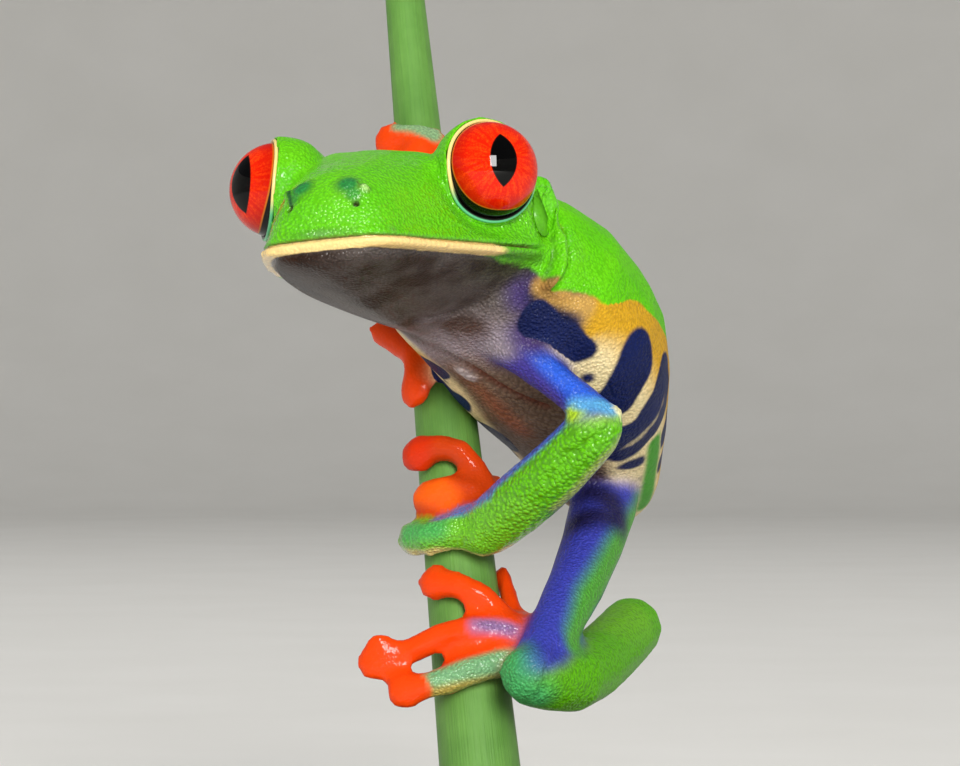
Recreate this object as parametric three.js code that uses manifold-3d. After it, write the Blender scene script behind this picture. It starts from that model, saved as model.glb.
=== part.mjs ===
// A red-eyed tree frog that grips a cut plant stem, held up by a small turned display stand.
// Lengths are millimetres and +Z is up. The origin is the centre of the base's underside.
// The frog looks toward -Y and a little toward -X. Its own left side is on the +X side.
import * as THREE from "three";
import { mergeVertices } from "three/addons/utils/BufferGeometryUtils.js";
import Module from "manifold-3d";

const wasm = await Module();
wasm.setup();

// Clearances between neighbouring nodes.
const JOINT_GAP = 0.3;
const STEM_GAP = 0.2;
const EYE_GAP = 0.2;

// How finely the rounded forms are divided.
const HEAD_SIDES = 36;
const HEAD_RINGS = 22;
const TORSO_SIDES = 22;
const TORSO_RINGS = 16;
const LIMB_SIDES = 10;
const LIMB_STEPS = 6;
const LIMB_CAP_RINGS = 2;
const DIGIT_SIDES = 6;
const DIGIT_STEPS = 4;
const DIGIT_CAP_RINGS = 1;
const DISC_SIDES = 8;
const DISC_RINGS = 4;
const EYE_SIDES = 18;
const EYE_RINGS = 10;
const STEM_SIDES = 14;
const STEM_STEPS = 1;
const TURNED_SIDES = 32;
const POLE_REACH = 1e-6;

// Stem: a straight tapering shoot that leans back as it rises. Its axis is measured from FOOT_Z.
const STEM_LOW_Z = 13.8;
const STEM_TOP_Z = 82;
const STEM_FOOT = new THREE.Vector3(-3, -5, 17);
const STEM_LEAN = new THREE.Vector3(-0.102, 0.46, 1);
const STEM_FOOT_RADIUS = 3.16;
const STEM_TAPER = 0.0239;
const STEM_RIDGE = 0.035;

// Stand: a turned base, and a rod with a cup that runs on in the line of the stem.
const BASE_RADIUS = 34;
const BASE_HEIGHT = 7;
const ROD_RADIUS = 1.7;
const CUP_RADIUS = 4.1;
const CUP_RIM_Z = 15.5;
const CUP_FLOOR_Z = 13.5;
const CUP_FOOT_Z = 11.6;

// Head: the middle of the line between the eyes, and how the head is turned from looking at -Y.
const HEAD_MIDDLE = new THREE.Vector3(-10.5, -10.9, 62.5);
const HEAD_YAW = 20.5;
const HEAD_ROLL = 4;
const HEAD_PITCH = 5;
// Head stations from nape to snout: forward of the eyes, half width, crown, mouth line, throat,
// then how far the cheek and the edge of the crown stand out, as shares of the half width, and how
// far the bent neck draws the section toward the frog's left.
const HEAD_STATIONS = [
  [-13, 0.5, -3.5, -4, -4.5, 1, 0.55, 1],
  [-12, 6, -0.5, -5, -8, 1, 0.55, 1],
  [-9, 9.5, 1.4, -6.2, -11.4, 1.1, 0.6, 0.9],
  [-5, 10.1, 2.2, -6.5, -11.4, 1.14, 0.62, 0.8],
  [-1, 9.5, 2.4, -6.65, -11, 1.0, 0.64, 0.4],
  [3.4, 8.2, 1.8, -6.75, -10.2, 0.88, 0.7, 0.1],
  [7.4, 6.8, 0.6, -6.85, -9.4, 0.82, 0.7, 0],
  [10.6, 5.5, -0.9, -6.9, -8.7, 0.88, 0.66, 0],
  [12.3, 4.1, -2.9, -6.95, -8.1, 0.95, 0.6, 0],
  [12.8, 0.3, -4.9, -6.85, -7.3, 1, 0.55, 0],
];
const CHEEK_RISE = 0.5;
const THROAT_POWER = 1.2;
// Lip and jaw rows beside the mouth line: distance up or down from it, and how far out of the skin.
const LIP_ROWS = [[0, -0.38], [0.14, 0.2], [0.48, 0.32], [0.86, 0.2], [1.25, 0]];
const JAW_ROWS = [[0, -0.38], [0.16, -0.28], [0.6, -0.36], [1.2, -0.3]];
const MOUTH_CORNER = [-6.6, -4.2];
const MOUTH_TILT = 0.015;
const STEP_STEEPNESS = 1.6;
const MOST_STEP = 0.04;

// Eyes: each looks out and a little up, in a raised socket closed by a ring of lid.
const EYE_RADIUS = 3.7;
const EYE_APART = 8.75;
const LID_LOOK_OUT = 55;
const LID_LOOK_UP = 7;
const LID_THICKNESS = 0.55;
const LID_PLANE = 0.55;
const BROW_RIDGE_RADIUS = 3.2;

// Nostrils and eardrums, each given forward, out to the side and up from the head's middle.
const NOSTRIL_AT = [11.0, 2.35, -2.2];
const NOSTRIL_BUMP = 0.85;
const NOSTRIL_HOLE = 0.32;
const EARDRUM_AT = [-5.6, 10.5, -2.9];
const EARDRUM_RADIUS = 1.75;
const EARDRUM_THICKNESS = 0.6;
const EARDRUM_RIM = 0.5;
const EARDRUM_RING_RISE = 0.75;

// Torso stations from neck to vent: where the middle is, half width, height up and height down.
const TORSO_PATH = [
  [-8.2, -6.6, 58.6], [-6.6, -5.2, 58.0], [-3.0, -3.0, 55.5], [0.6, -0.5, 52.0], [3.0, 3.5, 48.0],
  [4.9, 8.0, 44.8], [6.3, 12.4, 41.4], [7.6, 16.0, 38.4], [8.3, 18.0, 36.7], [8.5, 18.5, 36.3],
];
const TORSO_SIZES = [
  [0.5, 0.4, 0.4], [7.6, 5.6, 6.6], [9.1, 7.9, 7.0], [9.9, 9.6, 6.5], [9.5, 10.3, 6.0],
  [7.6, 8.2, 5.4], [6.0, 6.0, 4.4], [4.4, 4.1, 3.2], [2.4, 2.2, 1.8], [0.2, 0.2, 0.2],
];
const TORSO_SIDE = new THREE.Vector3(0.86, -0.51, 0);

// The block that stands on each side of the neck's cut, larger than the frog.
const NECK_BLOCK = 60;

// Digits: the radius and the half sizes of the disc that are used where none are given, and webs.
const FINGER_DISC = [1.85, 0.8, 1.7];
const TOE_DISC = [1.9, 0.85, 1.7];
const TOE_RADIUS = 1.15;
const WEB_THICKNESS = 0.6;

// Skin colours and other surfaces.
const GREEN = "#62b51d";
const FLANK = "#2a3a8c";
const BLUE = "#4a5fb8";
const ORANGE = "#f0500f";
const EYE_RED = "#e8330c";
const EARDRUM_OLIVE = "#7f9a2e";
const STEM_GREEN = "#5e9440";
const WALNUT = "#6b4429";
const BRASS = "#c9a44c";

const group = new THREE.Group();
group.name = "red_eyed_tree_frog";

const at = (x, y, z) => new THREE.Vector3(x, y, z);
const atAll = (rows) => rows.map((row) => at(...row));
const degrees = THREE.MathUtils.degToRad;

// A closed three.js geometry as a solid that can be joined and cut.
function solid(geometry) {
  geometry.deleteAttribute("uv");
  geometry.deleteAttribute("normal");
  const merged = mergeVertices(geometry, 1e-4);
  const mesh = new wasm.Mesh({
    numProp: 3,
    vertProperties: new Float32Array(merged.attributes.position.array),
    triVerts: new Uint32Array(merged.index.array),
  });
  mesh.merge();
  return new wasm.Manifold(mesh);
}

const joined = (solids) => wasm.Manifold.union(solids);

// The largest closed surface of a solid, which drops any loose scrap a cut leaves.
function largest(shape) {
  return shape.decompose().reduce((best, piece) => (piece.volume() > best.volume() ? piece : best));
}

// Adds one named node to the part.
function addNode(name, shape, color, roughness, metalness = 0) {
  const mesh = largest(shape).getMesh();
  const geometry = new THREE.BufferGeometry();
  geometry.setAttribute("position", new THREE.BufferAttribute(new Float32Array(mesh.vertProperties), 3));
  geometry.setIndex(new THREE.BufferAttribute(new Uint32Array(mesh.triVerts), 1));
  geometry.computeVertexNormals();
  const node = new THREE.Mesh(geometry, new THREE.MeshStandardMaterial({ color, roughness, metalness }));
  node.name = name;
  group.add(node);
}

// Moves every vertex of a geometry to the point that the rule returns for it.
function reshape(geometry, rule) {
  const position = geometry.attributes.position;
  const vertex = new THREE.Vector3();
  for (let i = 0; i < position.count; i += 1) {
    const moved = rule(vertex.fromBufferAttribute(position, i));
    position.setXYZ(i, moved.x, moved.y, moved.z);
  }
  return geometry;
}

// A round-ended limb through the points, with one radius for each point.
function limb(points, radii, sides = LIMB_SIDES, steps = LIMB_STEPS, caps = LIMB_CAP_RINGS) {
  const path = new THREE.CatmullRomCurve3(points);
  const girth = new THREE.CatmullRomCurve3(radii.map((radius) => at(radius, 0, 0)));
  const half = steps / 2;
  const rings = [];
  let across = Math.abs(path.getTangent(0).z) > 0.8 ? at(1, 0, 0) : at(0, 0, 1);
  for (let i = 0; i <= steps; i += 1) {
    const tangent = path.getTangent(i / steps);
    across = across.clone().addScaledVector(tangent, -across.dot(tangent)).normalize();
    const beside = tangent.clone().cross(across);
    const middle = path.getPoint(i / steps);
    rings.push({ middle, radius: girth.getPoint(i / steps).x, tangent, across, beside });
  }
  const capsule = new THREE.CapsuleGeometry(1, steps, caps, sides, steps);
  return solid(reshape(capsule, (vertex) => {
    const along = THREE.MathUtils.clamp(vertex.y, -half, half);
    const ring = rings[Math.round(along + half)];
    const offset = new THREE.Vector3();
    offset.addScaledVector(ring.across, vertex.z * ring.radius);
    offset.addScaledVector(ring.beside, vertex.x * ring.radius);
    offset.addScaledVector(ring.tangent, (vertex.y - along) * ring.radius);
    return offset.add(ring.middle);
  }));
}

// An oval lump with its own three half sizes, turned to the given directions.
function lump(middle, sizes, xWay, yWay, sides = DISC_SIDES, rings = DISC_RINGS) {
  const xAxis = xWay.clone().normalize();
  const yAxis = yWay.clone().addScaledVector(xAxis, -yWay.dot(xAxis)).normalize();
  const zAxis = xAxis.clone().cross(yAxis);
  const turned = new THREE.Matrix4().makeBasis(xAxis, yAxis, zAxis).setPosition(middle);
  const geometry = new THREE.SphereGeometry(1, sides, rings);
  geometry.scale(...sizes);
  return solid(geometry.applyMatrix4(turned));
}

// A flat round plate of the joint gap's thickness, which parts a limb where it passes.
function parting(middle, normal, radius, thickness = JOINT_GAP) {
  const plate = new THREE.CylinderGeometry(radius, radius, thickness, TURNED_SIDES / 2);
  const turn = new THREE.Quaternion().setFromUnitVectors(at(0, 1, 0), normal.clone().normalize());
  plate.applyQuaternion(turn);
  plate.translate(middle.x, middle.y, middle.z);
  return solid(plate);
}

// --- Stem -------------------------------------------------------------------------------------

const stemWay = STEM_LEAN.clone().normalize();
const stemRight = at(1, 0, 0).addScaledVector(stemWay, -stemWay.x).normalize();
const stemFront = stemRight.clone().cross(stemWay).negate();
const stemMiddle = (z) => STEM_FOOT.clone().addScaledVector(STEM_LEAN, z - STEM_FOOT.z);
const stemRadius = (z) => STEM_FOOT_RADIUS - STEM_TAPER * (z - STEM_FOOT.z);

// A point near the stem: height, angle round it from its front toward +X, height off its surface.
function onStem(z, angle, lift) {
  const reach = stemRadius(z) + lift;
  const turn = degrees(angle);
  return stemMiddle(z)
    .addScaledVector(stemRight, Math.sin(turn) * reach)
    .addScaledVector(stemFront, -Math.cos(turn) * reach);
}

// The direction straight out from the stem at an angle round it.
function outFromStem(angle) {
  const turn = degrees(angle);
  return stemRight.clone().multiplyScalar(Math.sin(turn)).addScaledVector(stemFront, -Math.cos(turn));
}

// The stem between two heights, swollen by extra. Three soft ridges run its length.
function stemBody(lowZ, topZ, extra) {
  const rod = new THREE.CylinderGeometry(1, 1, topZ - lowZ, STEM_SIDES, STEM_STEPS);
  return solid(reshape(rod, (vertex) => {
    const z = vertex.y + (lowZ + topZ) / 2;
    const turn = Math.atan2(vertex.x, vertex.z);
    const reach = Math.hypot(vertex.x, vertex.z);
    const ridge = 1 + STEM_RIDGE * Math.cos(3 * turn);
    const radius = reach * (stemRadius(z) * ridge + extra);
    return stemMiddle(z)
      .addScaledVector(stemRight, Math.sin(turn) * radius)
      .addScaledVector(stemFront, -Math.cos(turn) * radius);
  }));
}

addNode("perch_stem", stemBody(STEM_LOW_Z, STEM_TOP_Z, 0), STEM_GREEN, 0.6);

// --- Stand ------------------------------------------------------------------------------------

// A turned form: rows of radius and height, spun round +Z.
function turned(rows) {
  const profile = rows.map((row) => new THREE.Vector2(...row));
  return new THREE.LatheGeometry(profile, TURNED_SIDES).rotateX(Math.PI / 2);
}

const basePlate = solid(turned([
  [0, 0], [BASE_RADIUS - 0.6, 0], [BASE_RADIUS, 0.6], [BASE_RADIUS, 2.6], [BASE_RADIUS - 0.8, 3.4],
  [BASE_RADIUS - 1.6, 4.6], [BASE_RADIUS - 3.2, 6.2], [BASE_RADIUS - 5, BASE_HEIGHT], [0, BASE_HEIGHT],
]));
addNode("stand_base", basePlate, WALNUT, 0.45);

const alongStem = (z) => (z - STEM_FOOT.z) * STEM_LEAN.length();
const rodForm = turned([
  [0, alongStem(0)], [ROD_RADIUS, alongStem(0)], [ROD_RADIUS, alongStem(CUP_FOOT_Z)],
  [CUP_RADIUS - 0.6, alongStem(CUP_FOOT_Z + 0.8)], [CUP_RADIUS, alongStem(CUP_FOOT_Z + 1.4)],
  [CUP_RADIUS, alongStem(CUP_RIM_Z)], [0, alongStem(CUP_RIM_Z)],
]);
const rodTurn = new THREE.Matrix4().makeBasis(stemRight, stemWay.clone().cross(stemRight), stemWay);
rodForm.applyMatrix4(rodTurn.setPosition(STEM_FOOT));
const belowBase = new THREE.BoxGeometry(BASE_RADIUS, BASE_RADIUS, 2 * BASE_HEIGHT + 2 * JOINT_GAP);
const standRod = solid(rodForm)
  .subtract(stemBody(CUP_FLOOR_Z, STEM_TOP_Z, JOINT_GAP))
  .subtract(solid(belowBase));
addNode("stand_rod", standRod, BRASS, 0.3, 1);

// --- Head -------------------------------------------------------------------------------------

const yaw = degrees(HEAD_YAW);
const pitch = degrees(HEAD_PITCH);
const roll = degrees(HEAD_ROLL);
const headForward = at(-Math.sin(yaw) * Math.cos(pitch), -Math.cos(yaw) * Math.cos(pitch), Math.sin(pitch));
const levelLeft = at(Math.cos(yaw), -Math.sin(yaw), 0);
const levelUp = headForward.clone().cross(levelLeft);
const headLeft = levelLeft.clone().multiplyScalar(Math.cos(roll)).addScaledVector(levelUp, Math.sin(roll));
const headUp = headForward.clone().cross(headLeft);

// A point given forward, left and up from the middle of the head.
function inHead(forward, left, up) {
  return HEAD_MIDDLE.clone()
    .addScaledVector(headForward, forward)
    .addScaledVector(headLeft, left)
    .addScaledVector(headUp, up);
}

// The station sizes at a fraction of the way from nape to snout.
const headMiddles = new THREE.CatmullRomCurve3(HEAD_STATIONS.map((row) => at(row[0], row[1], row[3])));
const headHeights = new THREE.CatmullRomCurve3(HEAD_STATIONS.map((row) => at(row[2], row[4], row[7])));
const headCheeks = new THREE.CatmullRomCurve3(HEAD_STATIONS.map((row) => at(row[5], row[6], 0)));

// A point on the upper quarter of a section, as shares of its half width and height.
function crownShare(step, cheek, crown) {
  const from = new THREE.Vector2(1, 0);
  const wall = new THREE.Vector2(cheek, CHEEK_RISE);
  const roof = new THREE.Vector2(crown, 1);
  const top = new THREE.Vector2(0, 1);
  return new THREE.CubicBezierCurve(from, wall, roof, top).getPoint(step);
}

// A point on the lower quarter of a section, as shares of its half width and depth.
function throatShare(step) {
  const turn = (step * Math.PI) / 2;
  const size = (Math.cos(turn) ** THROAT_POWER + Math.sin(turn) ** THROAT_POWER) ** (-1 / THROAT_POWER);
  return new THREE.Vector2(Math.cos(turn) * size, Math.sin(turn) * size);
}

// The step along a quarter at which a small rise from the mouth line is reached.
const lipStep = (rise, height, row) => Math.min(rise / height / STEP_STEEPNESS, row * MOST_STEP);

// One corner of a head section. Rows beside the mouth keep the true size of the lip and the jaw.
function sectionCorner(row, rowsInQuarter, width, height, rows, share, fade) {
  const near = rows.length - 1;
  if (row > near) {
    const start = lipStep(rows[near][0], height, near);
    const corner = share(start + ((1 - start) * (row - near)) / (rowsInQuarter - near));
    return [corner.x * width, corner.y * height];
  }
  const [rise, out] = rows[row];
  const corner = share(lipStep(rise, height, row));
  return [Math.max(corner.x * width + out * fade, 0.3 * corner.x * width), corner.y * height];
}

// The head's skin, swollen by extra.
function headBody(extra) {
  const ball = new THREE.SphereGeometry(1, HEAD_SIDES, HEAD_RINGS);
  const quarter = HEAD_SIDES / 4;
  return solid(reshape(ball, (vertex) => {
    const fraction = Math.acos(THREE.MathUtils.clamp(vertex.y, -1, 1)) / Math.PI;
    const middle = headMiddles.getPoint(fraction);
    const heights = headHeights.getPoint(fraction);
    const cheeks = headCheeks.getPoint(fraction);
    const forward = middle.x + extra * Math.sin((fraction - 0.5) * Math.PI);
    if (Math.hypot(vertex.x, vertex.z) < POLE_REACH) {
      return inHead(forward, heights.z, middle.z);
    }
    const upper = vertex.z > -POLE_REACH;
    const row = Math.round((Math.asin(Math.min(Math.abs(vertex.z) / Math.hypot(vertex.x, vertex.z), 1))
      / (Math.PI / 2)) * quarter);
    const fade = THREE.MathUtils.smoothstep(middle.x, ...MOUTH_CORNER);
    const crown = (step) => crownShare(step, cheeks.x, cheeks.y);
    const width = middle.y + extra;
    const height = (upper ? heights.x - middle.z : middle.z - heights.y) + extra;
    const [side, rise] = upper
      ? sectionCorner(row, quarter, width, height, LIP_ROWS, crown, fade)
      : sectionCorner(row, quarter, width, height, JAW_ROWS, throatShare, fade);
    const sideways = Math.sign(vertex.x) * side;
    const tilt = MOUTH_TILT * sideways * (upper ? 1 - rise / height : 1);
    return inHead(forward, heights.z + sideways, middle.z + (upper ? rise : -rise) + tilt);
  }));
}

// One eye: the middle of the ball, the way it looks, and its socket in the head.
function eyeOf(side) {
  const out = degrees(LID_LOOK_OUT);
  const up = degrees(LID_LOOK_UP);
  const middle = inHead(0, side * EYE_APART, 0);
  const look = headForward.clone().multiplyScalar(Math.cos(out) * Math.cos(up));
  look.addScaledVector(headLeft, side * Math.sin(out) * Math.cos(up)).addScaledVector(headUp, Math.sin(up));
  return { side, middle, look };
}

function eyeSocket({ side, middle, look }) {
  const reach = EYE_RADIUS + EYE_GAP + LID_THICKNESS;
  const ring = lump(middle, [reach, reach, reach], look, headUp, EYE_SIDES, EYE_RINGS);
  const brow = limb(
    [inHead(-6.5, side * 7.2, -1.6), inHead(-3.2, side * 7.9, 0.2), inHead(-0.9, side * 8.0, 0.9)],
    [2.2, BROW_RIDGE_RADIUS, BROW_RIDGE_RADIUS],
  );
  const front = new THREE.CylinderGeometry(2 * reach, 2 * reach, 2 * reach, TURNED_SIDES / 2);
  front.applyQuaternion(new THREE.Quaternion().setFromUnitVectors(at(0, 1, 0), look));
  const shift = middle.clone().addScaledVector(look, LID_PLANE + reach);
  front.translate(shift.x, shift.y, shift.z);
  return joined([ring, brow]).subtract(solid(front));
}

const eyes = [eyeOf(1), eyeOf(-1)];
const eyeball = ({ middle, look }, radius) =>
  lump(middle, [radius, radius, radius], headUp, look, EYE_SIDES, EYE_RINGS);

// A nostril: a low swelling with a small hole that looks out and forward.
function nostrilOf(side) {
  const [forward, out, up] = NOSTRIL_AT;
  const middle = inHead(forward - 0.45, side * out, up - 0.35);
  const bump = lump(middle, [1.15, NOSTRIL_BUMP, NOSTRIL_BUMP], headForward, headUp);
  const rim = inHead(forward + 0.1, side * (out + 0.35), up - 0.1);
  const deep = inHead(forward - 1.2, side * (out - 0.5), up - 0.7);
  return { bump, hole: limb([deep, rim], [NOSTRIL_HOLE, NOSTRIL_HOLE], 6, 1) };
}

// An eardrum: a thin disc set in a shallow seat behind the eye.
function eardrumOf(side) {
  const [forward, out, up] = EARDRUM_AT;
  const middle = inHead(forward, side * out, up);
  const normal = headLeft.clone().multiplyScalar(side).addScaledVector(headUp, 0.42)
    .addScaledVector(headForward, 0.1);
  const wide = EARDRUM_RADIUS + JOINT_GAP;
  const seatMiddle = middle.clone().addScaledVector(normal.clone().normalize(), JOINT_GAP / 2);
  const ringReach = wide + EARDRUM_RIM;
  return {
    drum: parting(middle, normal, EARDRUM_RADIUS, EARDRUM_THICKNESS),
    seat: parting(seatMiddle, normal, wide, EARDRUM_THICKNESS + 3 * JOINT_GAP),
    ring: lump(middle, [ringReach, EARDRUM_RING_RISE, ringReach], headUp, normal, 16, 6),
  };
}

const nostrils = [nostrilOf(1), nostrilOf(-1)];
const eardrums = [eardrumOf(1), eardrumOf(-1)];

const headWhole = joined([
  headBody(0),
  ...eyes.map(eyeSocket),
  ...nostrils.map((nostril) => nostril.bump),
  ...eardrums.map((eardrum) => eardrum.ring),
]);

// --- Torso ------------------------------------------------------------------------------------

// The torso's skin, swollen by extra.
function torsoBody(extra) {
  const path = new THREE.CatmullRomCurve3(atAll(TORSO_PATH));
  const sizes = new THREE.CatmullRomCurve3(atAll(TORSO_SIZES));
  const ball = new THREE.SphereGeometry(1, TORSO_SIDES, TORSO_RINGS);
  return solid(reshape(ball, (vertex) => {
    const fraction = Math.acos(THREE.MathUtils.clamp(vertex.y, -1, 1)) / Math.PI;
    const middle = path.getPoint(fraction);
    const size = sizes.getPoint(fraction);
    const tangent = path.getTangent(fraction);
    const side = TORSO_SIDE.clone().addScaledVector(tangent, -TORSO_SIDE.dot(tangent)).normalize();
    const up = side.clone().cross(tangent);
    const reach = Math.max(Math.hypot(vertex.x, vertex.z), POLE_REACH);
    const rise = vertex.z / reach;
    return middle
      .addScaledVector(side, (vertex.x / reach) * (size.x + extra))
      .addScaledVector(up, -rise * ((rise < 0 ? size.y : size.z) + extra));
  }));
}

// --- Digits -----------------------------------------------------------------------------------

// A finger or toe through points that end in a flat disc. The disc lies against the stem where
// outward is the direction straight out from it.
function digit(points, radii, outward, discSizes) {
  const tip = points[points.length - 1];
  const before = points[points.length - 2];
  const way = tip.clone().sub(before);
  return [
    limb(points, radii, DIGIT_SIDES, DIGIT_STEPS, DIGIT_CAP_RINGS),
    lump(tip, discSizes, way, outward),
  ];
}

// The keys of a digit that lies round the stem, each height, angle and height off the surface.
const stemPoints = (keys) => keys.map((key) => onStem(...key));

function stemDigit(root, keys, radius, discSizes) {
  const points = [root, ...stemPoints(keys)];
  const radii = points.map((_, i) => radius * (i === 0 ? 1.15 : 1));
  return digit(points, radii, outFromStem(keys[keys.length - 1][1]), discSizes);
}

// A thin web between two rows of points, thickest at its middle line.
function web(rowA, rowB, thickness, sag) {
  const pathA = new THREE.CatmullRomCurve3(rowA);
  const pathB = new THREE.CatmullRomCurve3(rowB);
  const sheet = new THREE.BoxGeometry(1, 1, 1, 4, 4, 1);
  return solid(reshape(sheet, (vertex) => {
    const across = vertex.x + 0.5;
    const along = (vertex.y + 0.5) * (1 - sag * 4 * across * (1 - across));
    const a = pathA.getPoint(along);
    const b = pathB.getPoint(along);
    const normal = b.clone().sub(a).cross(pathA.getTangent(along)).normalize();
    return a.lerp(b, across).addScaledVector(normal, vertex.z * thickness);
  }));
}

// --- Limbs ------------------------------------------------------------------------------------

// Left arm: from the chest out to the elbow, back across the stem, with the hand on its front.
const leftElbow = at(6.0, -9.0, 44.5);
const leftWrist = at(-2.0, -1.9, 35.9);
const leftPalm = onStem(33.9, 14, 1.5);
const leftUpperArmPath = [at(-2.6, -5.4, 51.6), at(-0.3, -7.1, 49.8), at(3.3, -8.0, 46.8), leftElbow];
const leftForearmPath = [at(5.9, -9.0, 43.4), at(2.9, -6.5, 40.2), at(-0.2, -3.5, 37.4), leftWrist];
const leftUpperArm = limb(leftUpperArmPath, [2.3, 1.9, 1.4, 1.5]);
const leftForearm = limb(leftForearmPath, [2.2, 2.45, 2.5, 2.35]);
const leftElbowTip = lump(at(7.4, -9.4, 44.6), [0.7, 0.7, 0.7], at(1, 0, 0), at(0, 0, 1));
const leftHand = joined([
  limb([leftWrist, at(-2.8, -1.5, 35.4), leftPalm], [2.35, 2.2, 1.8]),
  ...stemDigit(leftPalm,
    [[33.4, -16, 1.4], [33.9, -50, 1.2], [34.6, -82, 0.75]], 1.5, [1.5, 0.85, 1.4]),
  ...stemDigit(onStem(35.4, 28, 1.5), [[37.0, 9, 1.3], [37.1, -10, 1.15], [36.8, -33, 0.9]],
    1.15, [1.75, 0.85, 1.7]),
  ...stemDigit(onStem(36.2, 40, 1.4),
    [[38.4, 28, 1.25], [39.9, 11, 1.15], [40.5, -14, 1.05], [40.5, -43, 0.9]], 1.1, [2.0, 0.85, 1.7]),
  ...stemDigit(onStem(36.6, 42, 1.2),
    [[37.8, 53, 0.9], [38.4, 92, 0.8], [38.9, 128, 0.8]], 0.9, [1.5, 0.8, 1.4]),
]);

// Left leg: the thigh comes forward to the knee and the shin goes back to the heel behind it.
const leftHip = at(7.4, 14.4, 39.8);
const leftKnee = at(0.9, -9.6, 24.6);
const leftHeel = at(9.6, 15.2, 26.7);
const leftAnkle = at(0.9, 3.2, 26.6);
const leftSole = onStem(25.8, 40, 1.5);
const leftThighPath = [leftHip, at(7.0, 8.4, 36.8), at(4.6, -1.0, 31.0), leftKnee];
const leftThighRadii = [3.1, 2.8, 2.3, 1.9];
const leftShankPath = [leftKnee, at(4.0, -4.6, 24.0), at(7.2, 5.6, 25.2), leftHeel];
const leftShankRadii = [2.5, 2.8, 2.7, 2.6];
const leftTarsusPath = [leftHeel, at(5.2, 13.4, 22.8), at(1.8, 8.0, 24.0), leftAnkle];
const leftTarsus = limb(leftTarsusPath, [1.9, 1.7, 1.5, 1.45]);
// The two outer toes reach past the stem, so their tips are free of it.
const outerToe = [
  leftSole, onStem(23.3, 27, 1.5), onStem(22.9, -2, 1.35), onStem(22.4, -30, 1.35), at(-8.7, -5.8, 23.1),
];
const longToe = [
  leftSole, onStem(25.9, 2, 1.3), onStem(25.8, -29, 1.35), at(-8.5, -4.2, 26.0), at(-10.8, -4.3, 25.3),
];
const innerToe = [[27.4, 37, 1.2], [28.6, 17, 1.15], [29.5, -7, 1.1], [30.1, -33, 0.9]];
const leftFoot = joined([
  limb([leftAnkle, onStem(26.6, 78, 1.7), leftSole], [1.45, 1.6, 1.7]),
  ...digit(outerToe, [1.5, 1.35, 1.3, 1.2, 1.0], at(-0.1, -1, 0.25), [1.75, 0.9, 1.6]),
  ...digit(longToe, [1.5, 1.25, 1.15, 1.1, 1.0], at(-0.1, -1, 0.3), [2.0, 0.9, 1.75]),
  ...stemDigit(leftSole, innerToe, 1.1, [1.8, 0.85, 1.55]),
  ...stemDigit(onStem(26.6, 66, 1.3),
    [[28.4, 78, 0.9], [30.2, 96, 0.7], [31.4, 114, 0.7]], 0.8, [1.4, 0.7, 1.3]),
  ...stemDigit(onStem(27.2, 96, 1.4), [[27.6, 122, 1.1], [28.2, 148, 0.8]], 0.85, [1.4, 0.75, 1.3]),
  web([onStem(26.8, 40, 1.1), onStem(27.9, 17, 1.0), onStem(28.5, -6, 1.0)],
    [onStem(26.2, 39, 1.1), onStem(26.4, 3, 1.1), onStem(26.4, -23, 1.2)], WEB_THICKNESS, 0.3),
  web([onStem(25.4, 36, 1.2), onStem(25.4, 1, 1.2), onStem(25.2, -33, 1.3)],
    [onStem(24.1, 33, 1.2), onStem(24.0, -1, 1.2), onStem(23.6, -37, 1.3)], WEB_THICKNESS, 0.35),
]);

// Right arm: out behind the throat, up the stem's near side, with the hand round its front.
const rightElbow = at(-12.6, 9.0, 56.0);
const rightWrist = at(-9.8, 12.4, 62.2);
const rightPalm = onStem(64.8, 0, 1.3);
const rightUpperArmPath = [at(-6.4, 0.0, 53.4), at(-9.8, 4.4, 53.4), rightElbow];
const rightForearmPath = [rightElbow, at(-12.4, 11.0, 59.4), rightWrist];
const rightUpperArm = limb(rightUpperArmPath, [2.4, 2.0, 1.6]);
const rightForearm = limb(rightForearmPath, [1.8, 2.1, 1.6]);
const rightHand = joined([
  limb([rightWrist, rightPalm], [1.6, 1.4]),
  ...stemDigit(rightPalm, [[65.6, 42, 1.3], [66.2, 4, 1.2], [66.6, -48, 1.0]], 1.05, FINGER_DISC),
  ...stemDigit(rightPalm, [[64.8, 55, 1.1], [64.9, 100, 1.0], [64.6, 135, 0.9]], 0.95, FINGER_DISC),
  ...stemDigit(rightPalm, [[64.0, -50, 1.1], [63.6, -95, 1.0], [63.2, -130, 0.9]], 1.0, FINGER_DISC),
  ...stemDigit(rightPalm, [[62.2, 30, 1.1], [61.0, 70, 0.9]], 0.95, FINGER_DISC),
]);

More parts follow.
